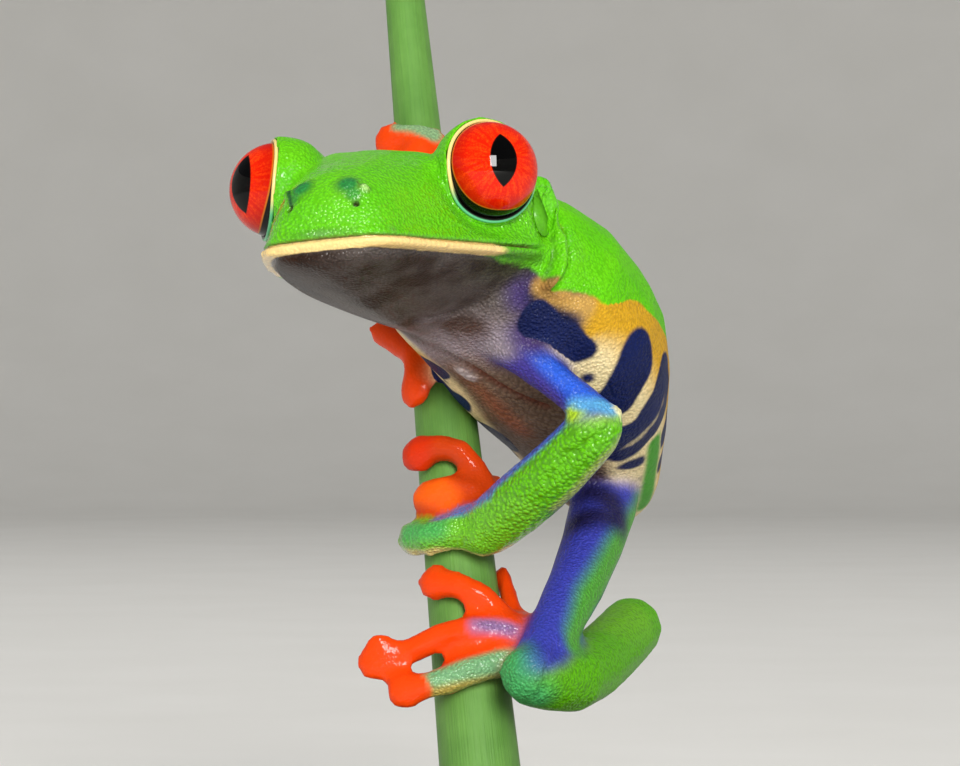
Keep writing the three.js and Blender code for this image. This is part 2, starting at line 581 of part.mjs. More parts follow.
// Right leg: folded behind the body, with the foot round the far side of the stem.
const rightHip = at(4.4, 15.4, 40.2);
const rightKnee = at(-3.0, 33.0, 58.0);
const rightHeel = at(6.4, 29.6, 39.4);
const rightAnkle = at(-3.2, 17.4, 47.4);
const rightSole = onStem(48.0, 150, 1.5);
const rightThighPath = [rightHip, at(4.5, 21.0, 44.8), at(1.5, 28.0, 52.0), rightKnee];
const rightThighRadii = [3.0, 2.8, 2.3, 1.9];
const rightShankPath = [rightKnee, at(0.2, 35.2, 52.6), at(4.6, 33.4, 45.0), rightHeel];
const rightShankRadii = [2.0, 2.6, 2.5, 2.1];
const rightTarsusPath = [rightHeel, at(2.0, 28.0, 42.8), at(-1.6, 23.2, 46.4), rightAnkle];
const rightTarsus = limb(rightTarsusPath, [1.9, 1.6, 1.45, 1.45]);
const rightFoot = joined([
  limb([rightAnkle, rightSole], [1.45, 1.4]),
  ...stemDigit(rightSole, [[51.2, 190, 1.6], [52.2, 235, 2.2], [51.4, 275, 2.2], [49.1, 312, 1.4],
    [47.4, 332, 1.1], [45.8, 318, 0.9]], TOE_RADIUS, TOE_DISC),
  ...stemDigit(rightSole, [[46.2, 184, 1.2], [44.6, 190, 0.9]], 1.0, [1.4, 0.8, 1.2]),
  ...stemDigit(rightSole, [[50.8, 160, 1.2], [53.0, 176, 0.9]], 1.0, [1.5, 0.8, 1.4]),
  ...stemDigit(rightSole, [[47.4, 160, 1.1], [45.8, 164, 0.8]], 0.9, [1.3, 0.8, 1.1]),
]);

// --- The frog's nodes, parted at its joints ---------------------------------------------------

// The trunk is one skin from snout to vent. A flat cut behind the jaw parts the head from the torso.
const trunk = joined([headWhole, torsoBody(0)]).subtract(stemBody(STEM_LOW_Z, STEM_TOP_Z, STEM_GAP));
const trunkClear = joined([headBody(JOINT_GAP), torsoBody(JOINT_GAP)]);
const neckMiddle = inHead(-8.4, 0, -4);
const neckWay = headForward.clone().addScaledVector(headUp, -0.12).normalize();
const halfBlock = (way) => parting(
  neckMiddle.clone().addScaledVector(way, (NECK_BLOCK - JOINT_GAP) / 2), way, NECK_BLOCK, NECK_BLOCK,
);
const head = trunk
  .subtract(halfBlock(neckWay.clone().negate()))
  .subtract(joined(nostrils.map((nostril) => nostril.hole)))
  .subtract(joined(eyes.map((eye) => eyeball(eye, EYE_RADIUS + EYE_GAP))))
  .subtract(joined(eardrums.map((eardrum) => eardrum.seat)));
addNode("head", head, GREEN, 0.4);
addNode("torso", trunk.subtract(halfBlock(neckWay)), FLANK, 0.4);

// The piece of a parted limb whose surface comes nearest to a point inside that piece.
function pieceAt(limbPieces, point) {
  const nearness = (piece) => {
    const { vertProperties } = piece.getMesh();
    let best = Infinity;
    for (let i = 0; i < vertProperties.length; i += 3) {
      best = Math.min(best, point.distanceTo(at(...vertProperties.slice(i, i + 3))));
    }
    return best;
  };
  return limbPieces.reduce((best, piece) => (nearness(piece) < nearness(best) ? piece : best));
}

const clearOf = joined([trunkClear, stemBody(STEM_LOW_Z, STEM_TOP_Z, STEM_GAP)]);

// Parts a limb at its joint plates and adds each piece by its name, inner point and colour.
function addLimb(whole, plates, named) {
  const cut = whole.subtract(clearOf).subtract(joined(plates));
  const limbPieces = cut.decompose();
  for (const [name, inner, color] of named) {
    addNode(name, pieceAt(limbPieces, inner), color, 0.4);
  }
}

// The plate that parts two bones meeting at a joint: it stands along the line between them.
function foldPlate(joint, boneA, boneB, reach) {
  const wayA = boneA.clone().sub(joint).normalize();
  const wayB = boneB.clone().sub(joint).normalize();
  const between = wayA.clone().add(wayB).normalize();
  return parting(joint.clone().addScaledVector(between, reach * 0.45), wayA.sub(wayB), reach);
}

addLimb(joined([leftUpperArm, leftForearm, leftElbowTip, leftHand]), [
  foldPlate(leftElbow, leftUpperArmPath[2], leftForearmPath[1], 5.5),
  parting(at(-0.9, -2.9, 36.9), at(0.72, -0.6, 0.5), 3.6),
], [
  ["left_upper_arm", leftUpperArmPath[2], BLUE],
  ["left_forearm", leftForearmPath[1], GREEN],
  ["left_hand", leftPalm, ORANGE],
]);
addLimb(joined([rightUpperArm, rightForearm, rightHand]), [
  foldPlate(rightElbow, rightUpperArmPath[1], rightForearmPath[1], 3.6),
  parting(at(-9.9, 12.2, 62.0), at(0.45, 0.3, 0.85), 2.4),
], [
  ["right_upper_arm", rightUpperArmPath[1], BLUE],
  ["right_forearm", rightForearmPath[1], GREEN],
  ["right_hand", rightPalm, ORANGE],
]);

// The two bones of a folded leg, and what the bones ahead of them have to keep clear of.
function addLeg(side, thighPath, thighRadii, shankPath, shankRadii) {
  const knee = shankPath[0];
  addLimb(joined([limb(thighPath, thighRadii), limb(shankPath, shankRadii)]), [
    foldPlate(knee, thighPath[2], shankPath[1], 12),
  ], [
    [`${side}_thigh`, thighPath[2], BLUE],
    [`${side}_shank`, shankPath[2], GREEN],
  ]);
  const swollen = (radii) => radii.map((radius) => radius + JOINT_GAP);
  return joined([limb(thighPath, swollen(thighRadii)), limb(shankPath, swollen(shankRadii))]);
}

const leftLegClear = addLeg("left", leftThighPath, leftThighRadii, leftShankPath, leftShankRadii);
const rightLegClear = addLeg("right", rightThighPath, rightThighRadii, rightShankPath, rightShankRadii);
addLimb(joined([leftTarsus, leftFoot]).subtract(leftLegClear), [
  parting(at(1.2, 4.4, 26.0), at(0.3, 0.9, -0.3), 2.6),
], [
  ["left_tarsus", leftTarsusPath[2], ORANGE],
  ["left_foot", leftSole, ORANGE],
]);
addLimb(joined([rightTarsus, rightFoot]).subtract(rightLegClear), [
  parting(at(-3.1, 18.4, 47.4), at(-0.3, -0.95, 0.1), 2.4),
], [
  ["right_tarsus", rightTarsusPath[2], ORANGE],
  ["right_foot", rightSole, ORANGE],
]);

addNode("left_eye", eyeball(eyes[0], EYE_RADIUS), EYE_RED, 0.1);
addNode("right_eye", eyeball(eyes[1], EYE_RADIUS), EYE_RED, 0.1);
addNode("left_eardrum", eardrums[0].drum, EARDRUM_OLIVE, 0.5);
addNode("right_eardrum", eardrums[1].drum, EARDRUM_OLIVE, 0.5);

export default group;
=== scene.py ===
"""A life-size red-eyed tree frog gripping a cut plant stem, on a small walnut and brass stand."""
import math

import bmesh
import bpy
import numpy as np
from bpy.props import FloatProperty, FloatVectorProperty, PointerProperty
from mathutils import Matrix, Vector
from mathutils.bvhtree import BVHTree


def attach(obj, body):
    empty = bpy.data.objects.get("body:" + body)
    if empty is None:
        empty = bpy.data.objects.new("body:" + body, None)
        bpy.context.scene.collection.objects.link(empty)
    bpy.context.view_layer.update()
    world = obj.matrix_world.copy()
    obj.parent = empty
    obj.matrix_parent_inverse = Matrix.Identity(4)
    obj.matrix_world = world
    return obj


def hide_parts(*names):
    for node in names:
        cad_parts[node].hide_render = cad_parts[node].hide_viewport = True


bl_info = {
    "name": "Red-eyed tree frog figure",
    "version": (1, 0, 0),
    "blender": (4, 5, 0),
    "location": "View3D > Sidebar > Tree frog",
    "description": "Builds a still, life-size red-eyed tree frog on its perch and display stand",
    "category": "Object",
}

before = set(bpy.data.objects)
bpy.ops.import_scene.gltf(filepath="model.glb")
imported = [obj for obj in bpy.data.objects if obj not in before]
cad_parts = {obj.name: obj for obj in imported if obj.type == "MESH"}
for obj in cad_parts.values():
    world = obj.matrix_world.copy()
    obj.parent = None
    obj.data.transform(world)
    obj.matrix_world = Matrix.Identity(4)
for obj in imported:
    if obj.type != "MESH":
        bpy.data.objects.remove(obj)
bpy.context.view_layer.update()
MM = 0.001

# The flesh of the frog in the model, which one skin without a seam replaces.
LIMB_NODES = [
    side + "_" + bone
    for side in ("left", "right")
    for bone in ("upper_arm", "forearm", "hand", "thigh", "shank", "tarsus", "foot")
]
FLESH = ["head", "torso"] + LIMB_NODES
# The sign of each of the frog's sides along its left-pointing axis.
SIDES = ((1, "left"), (-1, "right"))

# Head axes: forward along the snout, the frog's left, and up. Lengths are millimetres.
HEAD_MIDDLE = np.array((-10.5, -10.9, 62.5))
HEAD_YAW, HEAD_ROLL, HEAD_PITCH = (math.radians(a) for a in (20.5, 4.0, 5.0))
# The lower edge of the pale lip, as forward and up, its height, how much it tilts up to the left, and
# how far forward its corner is. The mouth parts along its upper edge.
LIP_LINE = [(-13.0, -6.0), (-5.0, -6.5), (-1.0, -6.65), (3.4, -6.75), (7.4, -6.85), (10.6, -6.9), (12.8, -6.9)]
LIP_HEIGHT = 0.78
MOUTH_TILT = 0.015
MOUTH_CORNER = -5.1
# Each eye's radius, its distance from the middle of the head, and the way its lids look.
EYE_RADIUS = 3.7
EYE_APART = 8.75
LID_LOOK_OUT, LID_LOOK_UP = math.radians(55), math.radians(7)
# The two eyes look a little differently: 1 is the frog's left, -1 its right.
PUPIL_LOOK_OUT = {1: math.radians(38.5), -1: math.radians(28.5)}
PUPIL_LOOK_UP = math.radians(5)
PUPIL_SCALE = {1: 1.0, -1: 1.12}
# The left eardrum's middle, the way it faces, how far its long axis leans back, and its half sizes.
EARDRUM_AT = (-5.9, 10.75, -2.6)
EARDRUM_FACES = (0.12, 1.0, 0.12)
EARDRUM_LEAN = 0.34
EARDRUM_WIDE, EARDRUM_HIGH = 1.45, 1.9
NOSTRIL_AT = (11.45, 2.3, -2.6)

# Torso: the line from neck to vent that its markings are measured along and round.
TORSO_PATH = [
    (-8.2, -6.6, 58.6), (-6.6, -5.2, 58.0), (-3.0, -3.0, 55.5), (0.6, -0.5, 52.0), (3.0, 3.5, 48.0),
    (4.9, 8.0, 44.8), (6.3, 12.4, 41.4), (7.6, 16.0, 38.4), (8.3, 18.0, 36.7), (8.5, 18.5, 36.3),
]
TORSO_SIDE = np.array((0.86, -0.51, 0.0))

# Perch: a tapering stem that leans back as it rises.
STEM_FOOT = np.array((-3.0, -5.0, 17.0))
STEM_LEAN = np.array((-0.102, 0.46, 1.0))
STEM_FOOT_RADIUS, STEM_TAPER = 3.16, 0.0239
STEM_BOTTOM, STEM_TOP = 13.8, 82.0
# Its section has three soft lobes and fine grooves, each as deep as a share of its radius.
STEM_LOBES, STEM_LOBE_DEPTH = 3, 0.03
STEM_GROOVES, STEM_GROOVE_DEPTH = 17, 0.004


# --- Small helpers ----------------------------------------------------------------------------


def linear(color):
    """The linear red, green and blue of an sRGB hex code; any other colour is linear already."""
    if not isinstance(color, str):
        return tuple(color)[:3]
    parts = [int(color[i:i + 2], 16) / 255 for i in (1, 3, 5)]
    return tuple(c / 12.92 if c <= 0.04045 else ((c + 0.055) / 1.055) ** 2.4 for c in parts)


def unit(vector):
    return np.asarray(vector, float) / np.linalg.norm(vector)


def smooth_step(low, high, value):
    t = np.clip((value - low) / (high - low), 0, 1)
    return t * t * (3 - 2 * t)


def ridge(away, width, height):
    """A rounded ridge, or a groove where its height is less than zero."""
    return height * np.exp(-(away / width) ** 2)


def plain(color, count):
    return np.tile(linear(color), (count, 1))


def mix(a, b, share):
    """Colours a changed to colour b, or to colours b, by a share for each vertex."""
    b = linear(b) if isinstance(b, str) else b
    return a + (b - a) * share[:, None]


def head_axes():
    forward = np.array((
        -math.sin(HEAD_YAW) * math.cos(HEAD_PITCH), -math.cos(HEAD_YAW) * math.cos(HEAD_PITCH), math.sin(HEAD_PITCH),
    ))
    level_left = np.array((math.cos(HEAD_YAW), -math.sin(HEAD_YAW), 0.0))
    level_up = np.cross(forward, level_left)
    left = level_left * math.cos(HEAD_ROLL) + level_up * math.sin(HEAD_ROLL)
    return np.array((forward, left, np.cross(forward, left)))


HEAD_AXES = head_axes()


def in_head(forward, left, up):
    return HEAD_MIDDLE + np.array((forward, left, up)) @ HEAD_AXES


def eye_middle(side):
    return in_head(0, side * EYE_APART, 0)


def look_of(side, out, up):
    """The direction that an eye on one side looks, given outward and upward angles."""
    ahead = np.array((math.cos(out) * math.cos(up), side * math.sin(out) * math.cos(up), math.sin(up)))
    return ahead @ HEAD_AXES


def through(points, steps=12):
    """A smooth line of points through the given ones."""
    p = np.asarray(points, float)
    p = np.vstack([2 * p[0] - p[1], p, 2 * p[-1] - p[-2]])
    line = []
    for a, b, c, d in zip(p, p[1:], p[2:], p[3:]):
        for s in np.arange(steps) / steps:
            line.append(0.5 * (2 * b + (c - a) * s + (2 * a - 5 * b + 4 * c - d) * s ** 2
                               + (3 * b - a - 3 * c + d) * s ** 3))
    line.append(p[-2])
    return np.array(line)


def along_line(points, line):
    """For each point: its distance from a line of points, and how far along the line it is nearest."""
    best = np.full(len(points), 1e9)
    where = np.zeros(len(points))
    start = 0.0
    for a, b in zip(line[:-1], line[1:]):
        span = b - a
        length = np.linalg.norm(span)
        t = np.clip((points - a) @ span / length ** 2, 0, 1)
        away = np.linalg.norm(points - a - t[:, None] * span, axis=1)
        nearer = away < best
        best = np.where(nearer, away, best)
        where = np.where(nearer, start + t * length, where)
        start += length
    return best, where


def inside_by(points, corners):
    """How far inside a closed outline each flat point lies, less than zero outside it."""
    corners = np.asarray(corners, float)
    away = np.full(len(points), 1e9)
    inside = np.zeros(len(points), bool)
    for a, b in zip(corners, np.roll(corners, -1, axis=0)):
        span = b - a
        t = np.clip((points - a) @ span / (span @ span), 0, 1)
        away = np.minimum(away, np.linalg.norm(points - a - t[:, None] * span, axis=1))
        crosses = (a[1] > points[:, 1]) != (b[1] > points[:, 1])
        rise = b[1] - a[1] if b[1] != a[1] else 1e-9
        inside ^= crosses & (points[:, 0] < (b[0] - a[0]) * (points[:, 1] - a[1]) / rise + a[0])
    return np.where(inside, away, -away)


def add_node(tree, kind, links=None, **settings):
    """Adds one shader node with its settings, and its inputs as values or links."""
    node = tree.nodes.new(kind)
    for name, value in settings.items():
        setattr(node, name, value)
    for socket, value in (links or {}).items():
        if isinstance(value, bpy.types.NodeSocket):
            tree.links.new(value, node.inputs[socket])
        else:
            node.inputs[socket].default_value = value
    return node


def new_material(name):
    material = bpy.data.materials.new(name)
    material.use_nodes = True
    material.node_tree.nodes.clear()
    return material, material.node_tree


def finish_material(material, color, inputs):
    """Closes a material with one principled shader of a colour and its other inputs."""
    tree = material.node_tree
    shader = add_node(tree, "ShaderNodeBsdfPrincipled", {"Base Color": color, **inputs})
    add_node(tree, "ShaderNodeOutputMaterial", {"Surface": shader.outputs[0]})
    return material


def object_place(tree):
    return add_node(tree, "ShaderNodeTexCoord").outputs["Object"]


def stored(tree, name, output="Fac"):
    return add_node(tree, "ShaderNodeAttribute", attribute_name=name).outputs[output]


def maths(tree, operation, *values):
    return add_node(tree, "ShaderNodeMath", dict(enumerate(values)), operation=operation).outputs[0]


def ramp(tree, value, low, high, start=0.0, end=1.0, kind="LINEAR"):
    """A value that runs from start to end while another runs from low to high."""
    return add_node(tree, "ShaderNodeMapRange", {0: value, 1: low, 2: high, 3: start, 4: end},
                    interpolation_type=kind).outputs[0]


def noise(tree, place, scale, detail, **links):
    return add_node(tree, "ShaderNodeTexNoise", {"Vector": place, "Scale": scale, "Detail": detail, **links}).outputs[0]


def streaks(tree, place, scales, detail, **links):
    """Noise with a scale of its own along each axis."""
    grain = add_node(tree, "ShaderNodeMapping", {"Vector": place, "Scale": scales}).outputs[0]
    return noise(tree, grain, 1.0, detail, **links)


def blend(tree, share, a, b, kind="MIX"):
    """Colour a changed to colour b by a share; a colour is a socket, a hex code or linear."""
    a, b = (c if isinstance(c, bpy.types.NodeSocket) else linear(c) + (1.0,) for c in (a, b))
    return add_node(tree, "ShaderNodeMix", {0: share, 6: a, 7: b}, data_type="RGBA", blend_type=kind).outputs[2]


def bump(tree, height, distance, strength=1.0):
    return add_node(tree, "ShaderNodeBump", {"Height": height, "Distance": distance, "Strength": strength}).outputs[0]


def new_piece(name, bm, material):
    """A finished object from a bmesh in millimetres, at the origin in metres."""
    bmesh.ops.scale(bm, vec=(MM, MM, MM), verts=bm.verts)
    mesh = bpy.data.meshes.new(name)
    bm.to_mesh(mesh)
    bm.free()
    mesh.polygons.foreach_set("use_smooth", [True] * len(mesh.polygons))
    mesh.materials.append(material)
    piece = bpy.data.objects.new(name, mesh)
    bpy.context.scene.collection.objects.link(piece)
    return piece


def read_vectors(items, key):
    values = np.empty(len(items) * 3, np.float32)
    items.foreach_get(key, values)
    return values.reshape(-1, 3).astype(float)


def coordinates(mesh):
    return read_vectors(mesh.vertices, "co")


def normals(mesh):
    return read_vectors(mesh.vertex_normals, "vector")


def place(mesh, co):
    mesh.vertices.foreach_set("co", np.asarray(co, np.float32).ravel())
    mesh.update()


def neighbours(mesh):
    edges = np.empty(len(mesh.edges) * 2, np.int32)
    mesh.edges.foreach_get("vertices", edges)
    a, b = edges.reshape(-1, 2).T
    start, end = np.r_[a, b], np.r_[b, a]
    count = np.maximum(np.bincount(start, minlength=len(mesh.vertices)), 1)
    return start, end, count


def averaged(values, links):
    """Each vertex's value replaced by the mean of its neighbours'."""
    start, end, count = links
    flat = values.reshape(len(count), -1)
    sums = [np.bincount(start, weights=column[end], minlength=len(count)) / count for column in flat.T]
    return np.array(sums).T.reshape(values.shape)


def relaxed(co, links, rounds, share=0.5, back=-0.53):
    """Smooths the facets out of a skin and keeps its volume: each round goes in and then back out."""
    for _ in range(rounds):
        co = co + share * (averaged(co, links) - co)
        co = co + back * (averaged(co, links) - co)
    return co


def write_attribute(mesh, name, values, kind="FLOAT"):
    """Stores a number, a vector or a colour for each vertex."""
    values = np.asarray(values, np.float32)
    if kind == "FLOAT_COLOR":
        values = np.column_stack([values, np.ones(len(values), np.float32)])
    key = {"FLOAT": "value", "FLOAT_VECTOR": "vector", "FLOAT_COLOR": "color"}[kind]
    mesh.attributes.new(name, kind, "POINT").data.foreach_set(key, values.ravel())


# --- Sizes and colours that a user would change ------------------------------------------------


def color_property(name, description, code):
    return FloatVectorProperty(
        name=name, description=description, default=linear(code), size=3, subtype="COLOR", min=0, max=1,
    )


def length_property(name, description, size, low, high):
    """A length given in millimetres and kept in metres."""
    return FloatProperty(
        name=name, description=description, default=size * MM, min=low * MM, max=high * MM,
        subtype="DISTANCE", unit="LENGTH", precision=5,
    )


class FrogSkinSettings(bpy.types.PropertyGroup):
    grain_size: length_property("Granule size", "Width of one fine skin granule", 0.26, 0.1, 2)
    voxel: length_property("Mesh spacing", "Spacing of the skin's mesh before the face is refined", 0.42, 0.2, 2)
    back: color_property("Back", "Leaf green of the head and back", "#50b908")
    band: color_property("Band", "Yellow band below the green of the back", "#ca9a20")
    bars: color_property("Bars", "Cream bars on the flank", "#e6d3a2")
    navy: color_property("Flank", "Dark blue between the bars", "#080f32")
    digits: color_property("Digits", "Orange of the fingers and toes", "#e04004")
    # The belly colour is darker than the pale skin itself: painted shade of the underside.
    belly: color_property("Belly", "Pale granular belly", "#75604f")
    lip: color_property("Lip", "Cream roll of the lower lip", "#f0cf88")


class FrogEyeSettings(bpy.types.PropertyGroup):
    iris: color_property("Iris", "Red of the iris", "#d21a02")
    pupil_height: length_property("Pupil height", "Height of the upright pupil", 4.1, 1, 6)
    pupil_width: length_property("Pupil width", "Width of the upright pupil", 2.1, 0.2, 5)


class FrogPerchSettings(bpy.types.PropertyGroup):
    stem: color_property("Stem", "Green of the plant stem", "#4e7f2e")
    walnut: color_property("Walnut", "Middle brown of the oiled walnut base", "#5b3a22")
    brass: color_property("Brass", "Satin brass of the rod and cup", "#c8a250")


class FrogStageSettings(bpy.types.PropertyGroup):
    floor: color_property("Floor", "Pale studio floor", "#dcdad4")
    reach: length_property("Floor reach", "How far the floor runs before it curves up", 1100, 500, 5000)


# --- Skin: shape ------------------------------------------------------------------------------


# How far each flesh solid swells so that it meets its neighbours, and the part of that which the
# finished skin keeps.
SWELL, SWELL_KEPT = 0.21, 0.02
# Web between the bases of the fingers and the fuller discs: middle, radius and share of it front to back.
PADS = [
    ((-5.3, 0.5, 37.3), 0.95, 1.0), ((-4.5, 0.3, 37.5), 1.1, 1.0), ((-7.6, 3.0, 41.2), 1.45, 0.6),
    ((-10.75, -4.6, 26.25), 1.42, 0.55),
]
# Rounds that relax the wrapped skin, and the refined one.
RELAX_ROUNDS, SETTLE_ROUNDS = 28, 3


def flesh_solid():
    """The model's flesh solids in one mesh, each swollen so that it meets its neighbours."""
    whole = bmesh.new()
    for name in FLESH + ["left_eardrum", "right_eardrum"]:
        part = bmesh.new()
        part.from_mesh(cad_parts[name].data)
        bmesh.ops.remove_doubles(part, verts=part.verts, dist=1e-7)
        bmesh.ops.recalc_face_normals(part, faces=part.faces)
        bmesh.ops.scale(part, vec=(1 / MM,) * 3, verts=part.verts)
        part.normal_update()
        for vertex in part.verts:
            vertex.co += vertex.normal * SWELL
        loose = bpy.data.meshes.new("part")
        part.to_mesh(loose)
        part.free()
        whole.from_mesh(loose)
        bpy.data.meshes.remove(loose)
    for middle, radius, depth in PADS:
        shape = Matrix.Translation(middle) @ Matrix.Diagonal((1, depth, 1, 1))
        bmesh.ops.create_icosphere(whole, subdivisions=3, radius=radius, matrix=shape)
    return whole


def skinned(voxel):
    """One closed skin, in millimetres, wrapped round the flesh."""
    mesh = bpy.data.meshes.new("frog_skin")
    whole = flesh_solid()
    whole.to_mesh(mesh)
    whole.free()
    piece = bpy.data.objects.new("frog_skin", mesh)
    bpy.context.scene.collection.objects.link(piece)
    wrap = piece.modifiers.new("wrap", "REMESH")
    wrap.mode = "VOXEL"
    wrap.voxel_size = voxel
    wrap.use_smooth_shade = True
    graph = bpy.context.evaluated_depsgraph_get()
    skin = bpy.data.meshes.new_from_object(piece.evaluated_get(graph))
    piece.modifiers.clear()
    piece.data = skin
    bpy.data.meshes.remove(mesh)
    return piece


def refine(mesh, chosen):
    """Halves the mesh spacing between the chosen vertices."""
    bm = bmesh.new()
    bm.from_mesh(mesh)
    edges = [e for e in bm.edges if chosen[e.verts[0].index] and chosen[e.verts[1].index]]
    bmesh.ops.subdivide_edges(bm, edges=edges, cuts=1, use_grid_fill=True)
    bm.to_mesh(mesh)
    bm.free()
    mesh.update()


def head_places(co):
    """Forward, left and up of each vertex from the middle of the head."""
    return (co - HEAD_MIDDLE) @ HEAD_AXES.T


def over_line(places, line):
    """Height of each vertex over a line of forward and up that tilts with the mouth."""
    forward, up = np.array(line).T
    return places[:, 2] - np.interp(places[:, 0], forward, up) - MOUTH_TILT * places[:, 1]


def above_lip(places):
    return over_line(places, LIP_LINE)


def folded_over(places):
    """The same places with the right side laid over the left."""
    return np.column_stack([places[:, 0], np.abs(places[:, 1]), places[:, 2]])


def eye_places(co, side):
    """Distance from the middle of an eye, and the angle from the way its lids look, in degrees."""
    away = co - eye_middle(side)
    reach = np.linalg.norm(away, axis=1)
    turn = np.degrees(np.arccos(np.clip(away @ look_of(side, LID_LOOK_OUT, LID_LOOK_UP) / reach, -1, 1)))
    return reach, turn


def lid_axes(side):
    """The way an eye's lids look, then toward the nose and up along the rim of the opening."""
    look = look_of(side, LID_LOOK_OUT, LID_LOOK_UP)
    noseward = unit(HEAD_AXES[0] - look * (look @ HEAD_AXES[0]))
    upward = unit(HEAD_AXES[2] - look * (look @ HEAD_AXES[2]) - noseward * (noseward @ HEAD_AXES[2]))
    return look, noseward, upward


def eye_around(co, side):
    """Angle of each vertex round an eye's opening: 0 is up, pi/2 toward the nose."""
    away = co - eye_middle(side)
    _, noseward, upward = lid_axes(side)
    return np.arctan2(away @ noseward, away @ upward)


# Degrees from the lids' look to the middle of their rim and to the border of the iris, at eight
# equal turns round each eye that start at the top and go toward the nose.
LID_RIMS = {1: (85, 86.5, 88, 97, 93, 87, 82, 83.5), -1: (80, 77, 75, 79, 83, 85, 85, 83)}
IRIS_BORDERS = {1: (83, 84, 84.5, 80, 70, 73, 78.5, 81.5), -1: (78, 75, 72, 70, 74, 80, 83, 81)}
# Degrees from the lids' look to the edge of the sockets in the model.
LID_EDGE = 81.4
# The lids are shaped this far from an eye's middle; they start at LID_START, keep a share of what is
# over it, and stay clear of the ball. What is nearer than EYE_HOLLOW to the middle isn't pushed out.
LID_REACH, LID_START, LID_KEPT, LID_CLEAR, EYE_HOLLOW = 5.6, 4.0, 0.4, 0.04, 2.2
# How far the roll of each lid's rim stands over the ball, and its half thickness and half width.
RIM_LIFT, RIM_THICK, RIM_WIDE = 0.17, 0.19, 0.15


def round_eye(values, around):
    """A smooth curve through eight values at equal turns round an eye, read at given angles."""
    curve = through([(45 * i, values[i % 8]) for i in range(-1, 10)])
    return np.interp(np.degrees(around) % 360, curve[:, 0], curve[:, 1])


# Folds behind each eye in the head's measures, then their width and height. Both sides alike.
FOLDS = [
    ([(-6.0, 10.2, 0.5), (-6.9, 10.8, -1.2), (-7.65, 11.05, -2.8), (-7.0, 11.5, -4.4), (-6.5, 11.95, -6.0),
      (-6.25, 11.95, -7.2), (-5.9, 11.3, -8.2)], 0.55, 0.85),
    ([(-9.3, 10.2, -0.8), (-8.75, 10.9, -2.1), (-7.8, 11.8, -3.6), (-7.3, 12.4, -5.2), (-7.0, 12.45, -6.5),
      (-6.5, 12.0, -7.8), (-6.2, 11.4, -8.6)], 0.3, -0.75),
    ([(-6.6, 11.2, -4.4), (-6.15, 11.45, -5.2), (-6.0, 11.55, -5.9), (-5.7, 11.35, -7.0), (-5.4, 10.9, -7.9)],
     0.24, -0.24),
]


def fold_distances(places):
    return [along_line(folded_over(places), through(line, 5))[0] for line, _, _ in FOLDS]


def face_detail(co, margin):
    """Which vertices lie within a margin of the mouth, lids, folds or nostrils."""
    places = head_places(co)
    chosen = (np.abs(above_lip(places) - 0.6) < 0.75 + margin) & (places[:, 0] > -7.4)
    for side in (1, -1):
        reach, turn = eye_places(co, side)
        chosen |= (reach < 4.6 + margin) & (np.abs(turn - 84) < 9 + 8 * margin)
        chosen |= np.linalg.norm(places - np.array(NOSTRIL_AT) * (1, side, 1), axis=1) < 1.5 + margin
    chosen |= np.min(fold_distances(places), axis=0) < 0.5 + margin
    return chosen


def sculpt_eyes(co):
    """Fits the lids to their openings, thins them and keeps them just clear of the eyeballs."""
    for side in (1, -1):
        middle = eye_middle(side)
        reach, turn = eye_places(co, side)
        look = lid_axes(side)[0]
        opening = round_eye(LID_RIMS[side], eye_around(co, side))
        across = co - middle
        across = across - np.outer(across @ look, look)
        across /= np.maximum(np.linalg.norm(across, axis=1), 1e-6)[:, None]
        shift = (opening - LID_EDGE) * smooth_step(120, 86, turn) * smooth_step(LID_REACH, 4.6, reach)
        angle = np.radians(turn + shift)[:, None]
        thin = smooth_step(opening + 42, opening + 8, turn + shift) * smooth_step(5.5, 4.7, reach)
        kept = 1 - (1 - LID_KEPT) * thin
        lower = np.where(reach > LID_START, LID_START + (reach - LID_START) * kept, reach)
        lower = np.maximum(lower, np.where(reach > EYE_HOLLOW, EYE_RADIUS + LID_CLEAR, 0))
        moved = middle + (np.cos(angle) * look + np.sin(angle) * across) * lower[:, None]
        co = np.where(reach[:, None] < LID_REACH, moved, co)
    return co


def eardrum_axes(side):
    """The middle of an eardrum, then the ways it faces, runs across and runs up."""
    middle = in_head(EARDRUM_AT[0], side * EARDRUM_AT[1], EARDRUM_AT[2])
    facing = unit(np.array(EARDRUM_FACES) * (1, side, 1) @ HEAD_AXES)
    upward = HEAD_AXES[2] - EARDRUM_LEAN * HEAD_AXES[0]
    across = unit(np.cross(upward, facing))
    return middle, facing, across, np.cross(facing, across)


def sculpt_eardrums(co):
    """Flattens the skin under each eardrum and sinks a fine groove round it."""
    for side in (1, -1):
        middle, facing, across, upward = eardrum_axes(side)
        away = co - middle
        rise = away @ facing
        reach = np.hypot(away @ across / EARDRUM_WIDE, away @ upward / EARDRUM_HIGH)
        share = smooth_step(1.55, 1.08, reach) * smooth_step(2.6, 1.6, np.abs(rise))
        groove = ridge(reach - 1.06, 0.09, 0.1) * smooth_step(1.2, 0.6, np.abs(rise))
        co = co - np.outer(rise * share + groove, facing)
    return co


# Forms along the mouth: height over the pale lip's lower edge, width and height of each.
PARTING = (LIP_HEIGHT, 0.1, -0.42)
UPPER_LIP = (LIP_HEIGHT + 0.4, 0.3, 0.1)
LIP_ROLL = (0.42, 0.26, 0.17)
UNDER_LIP = (-0.25, 0.22, -0.2)


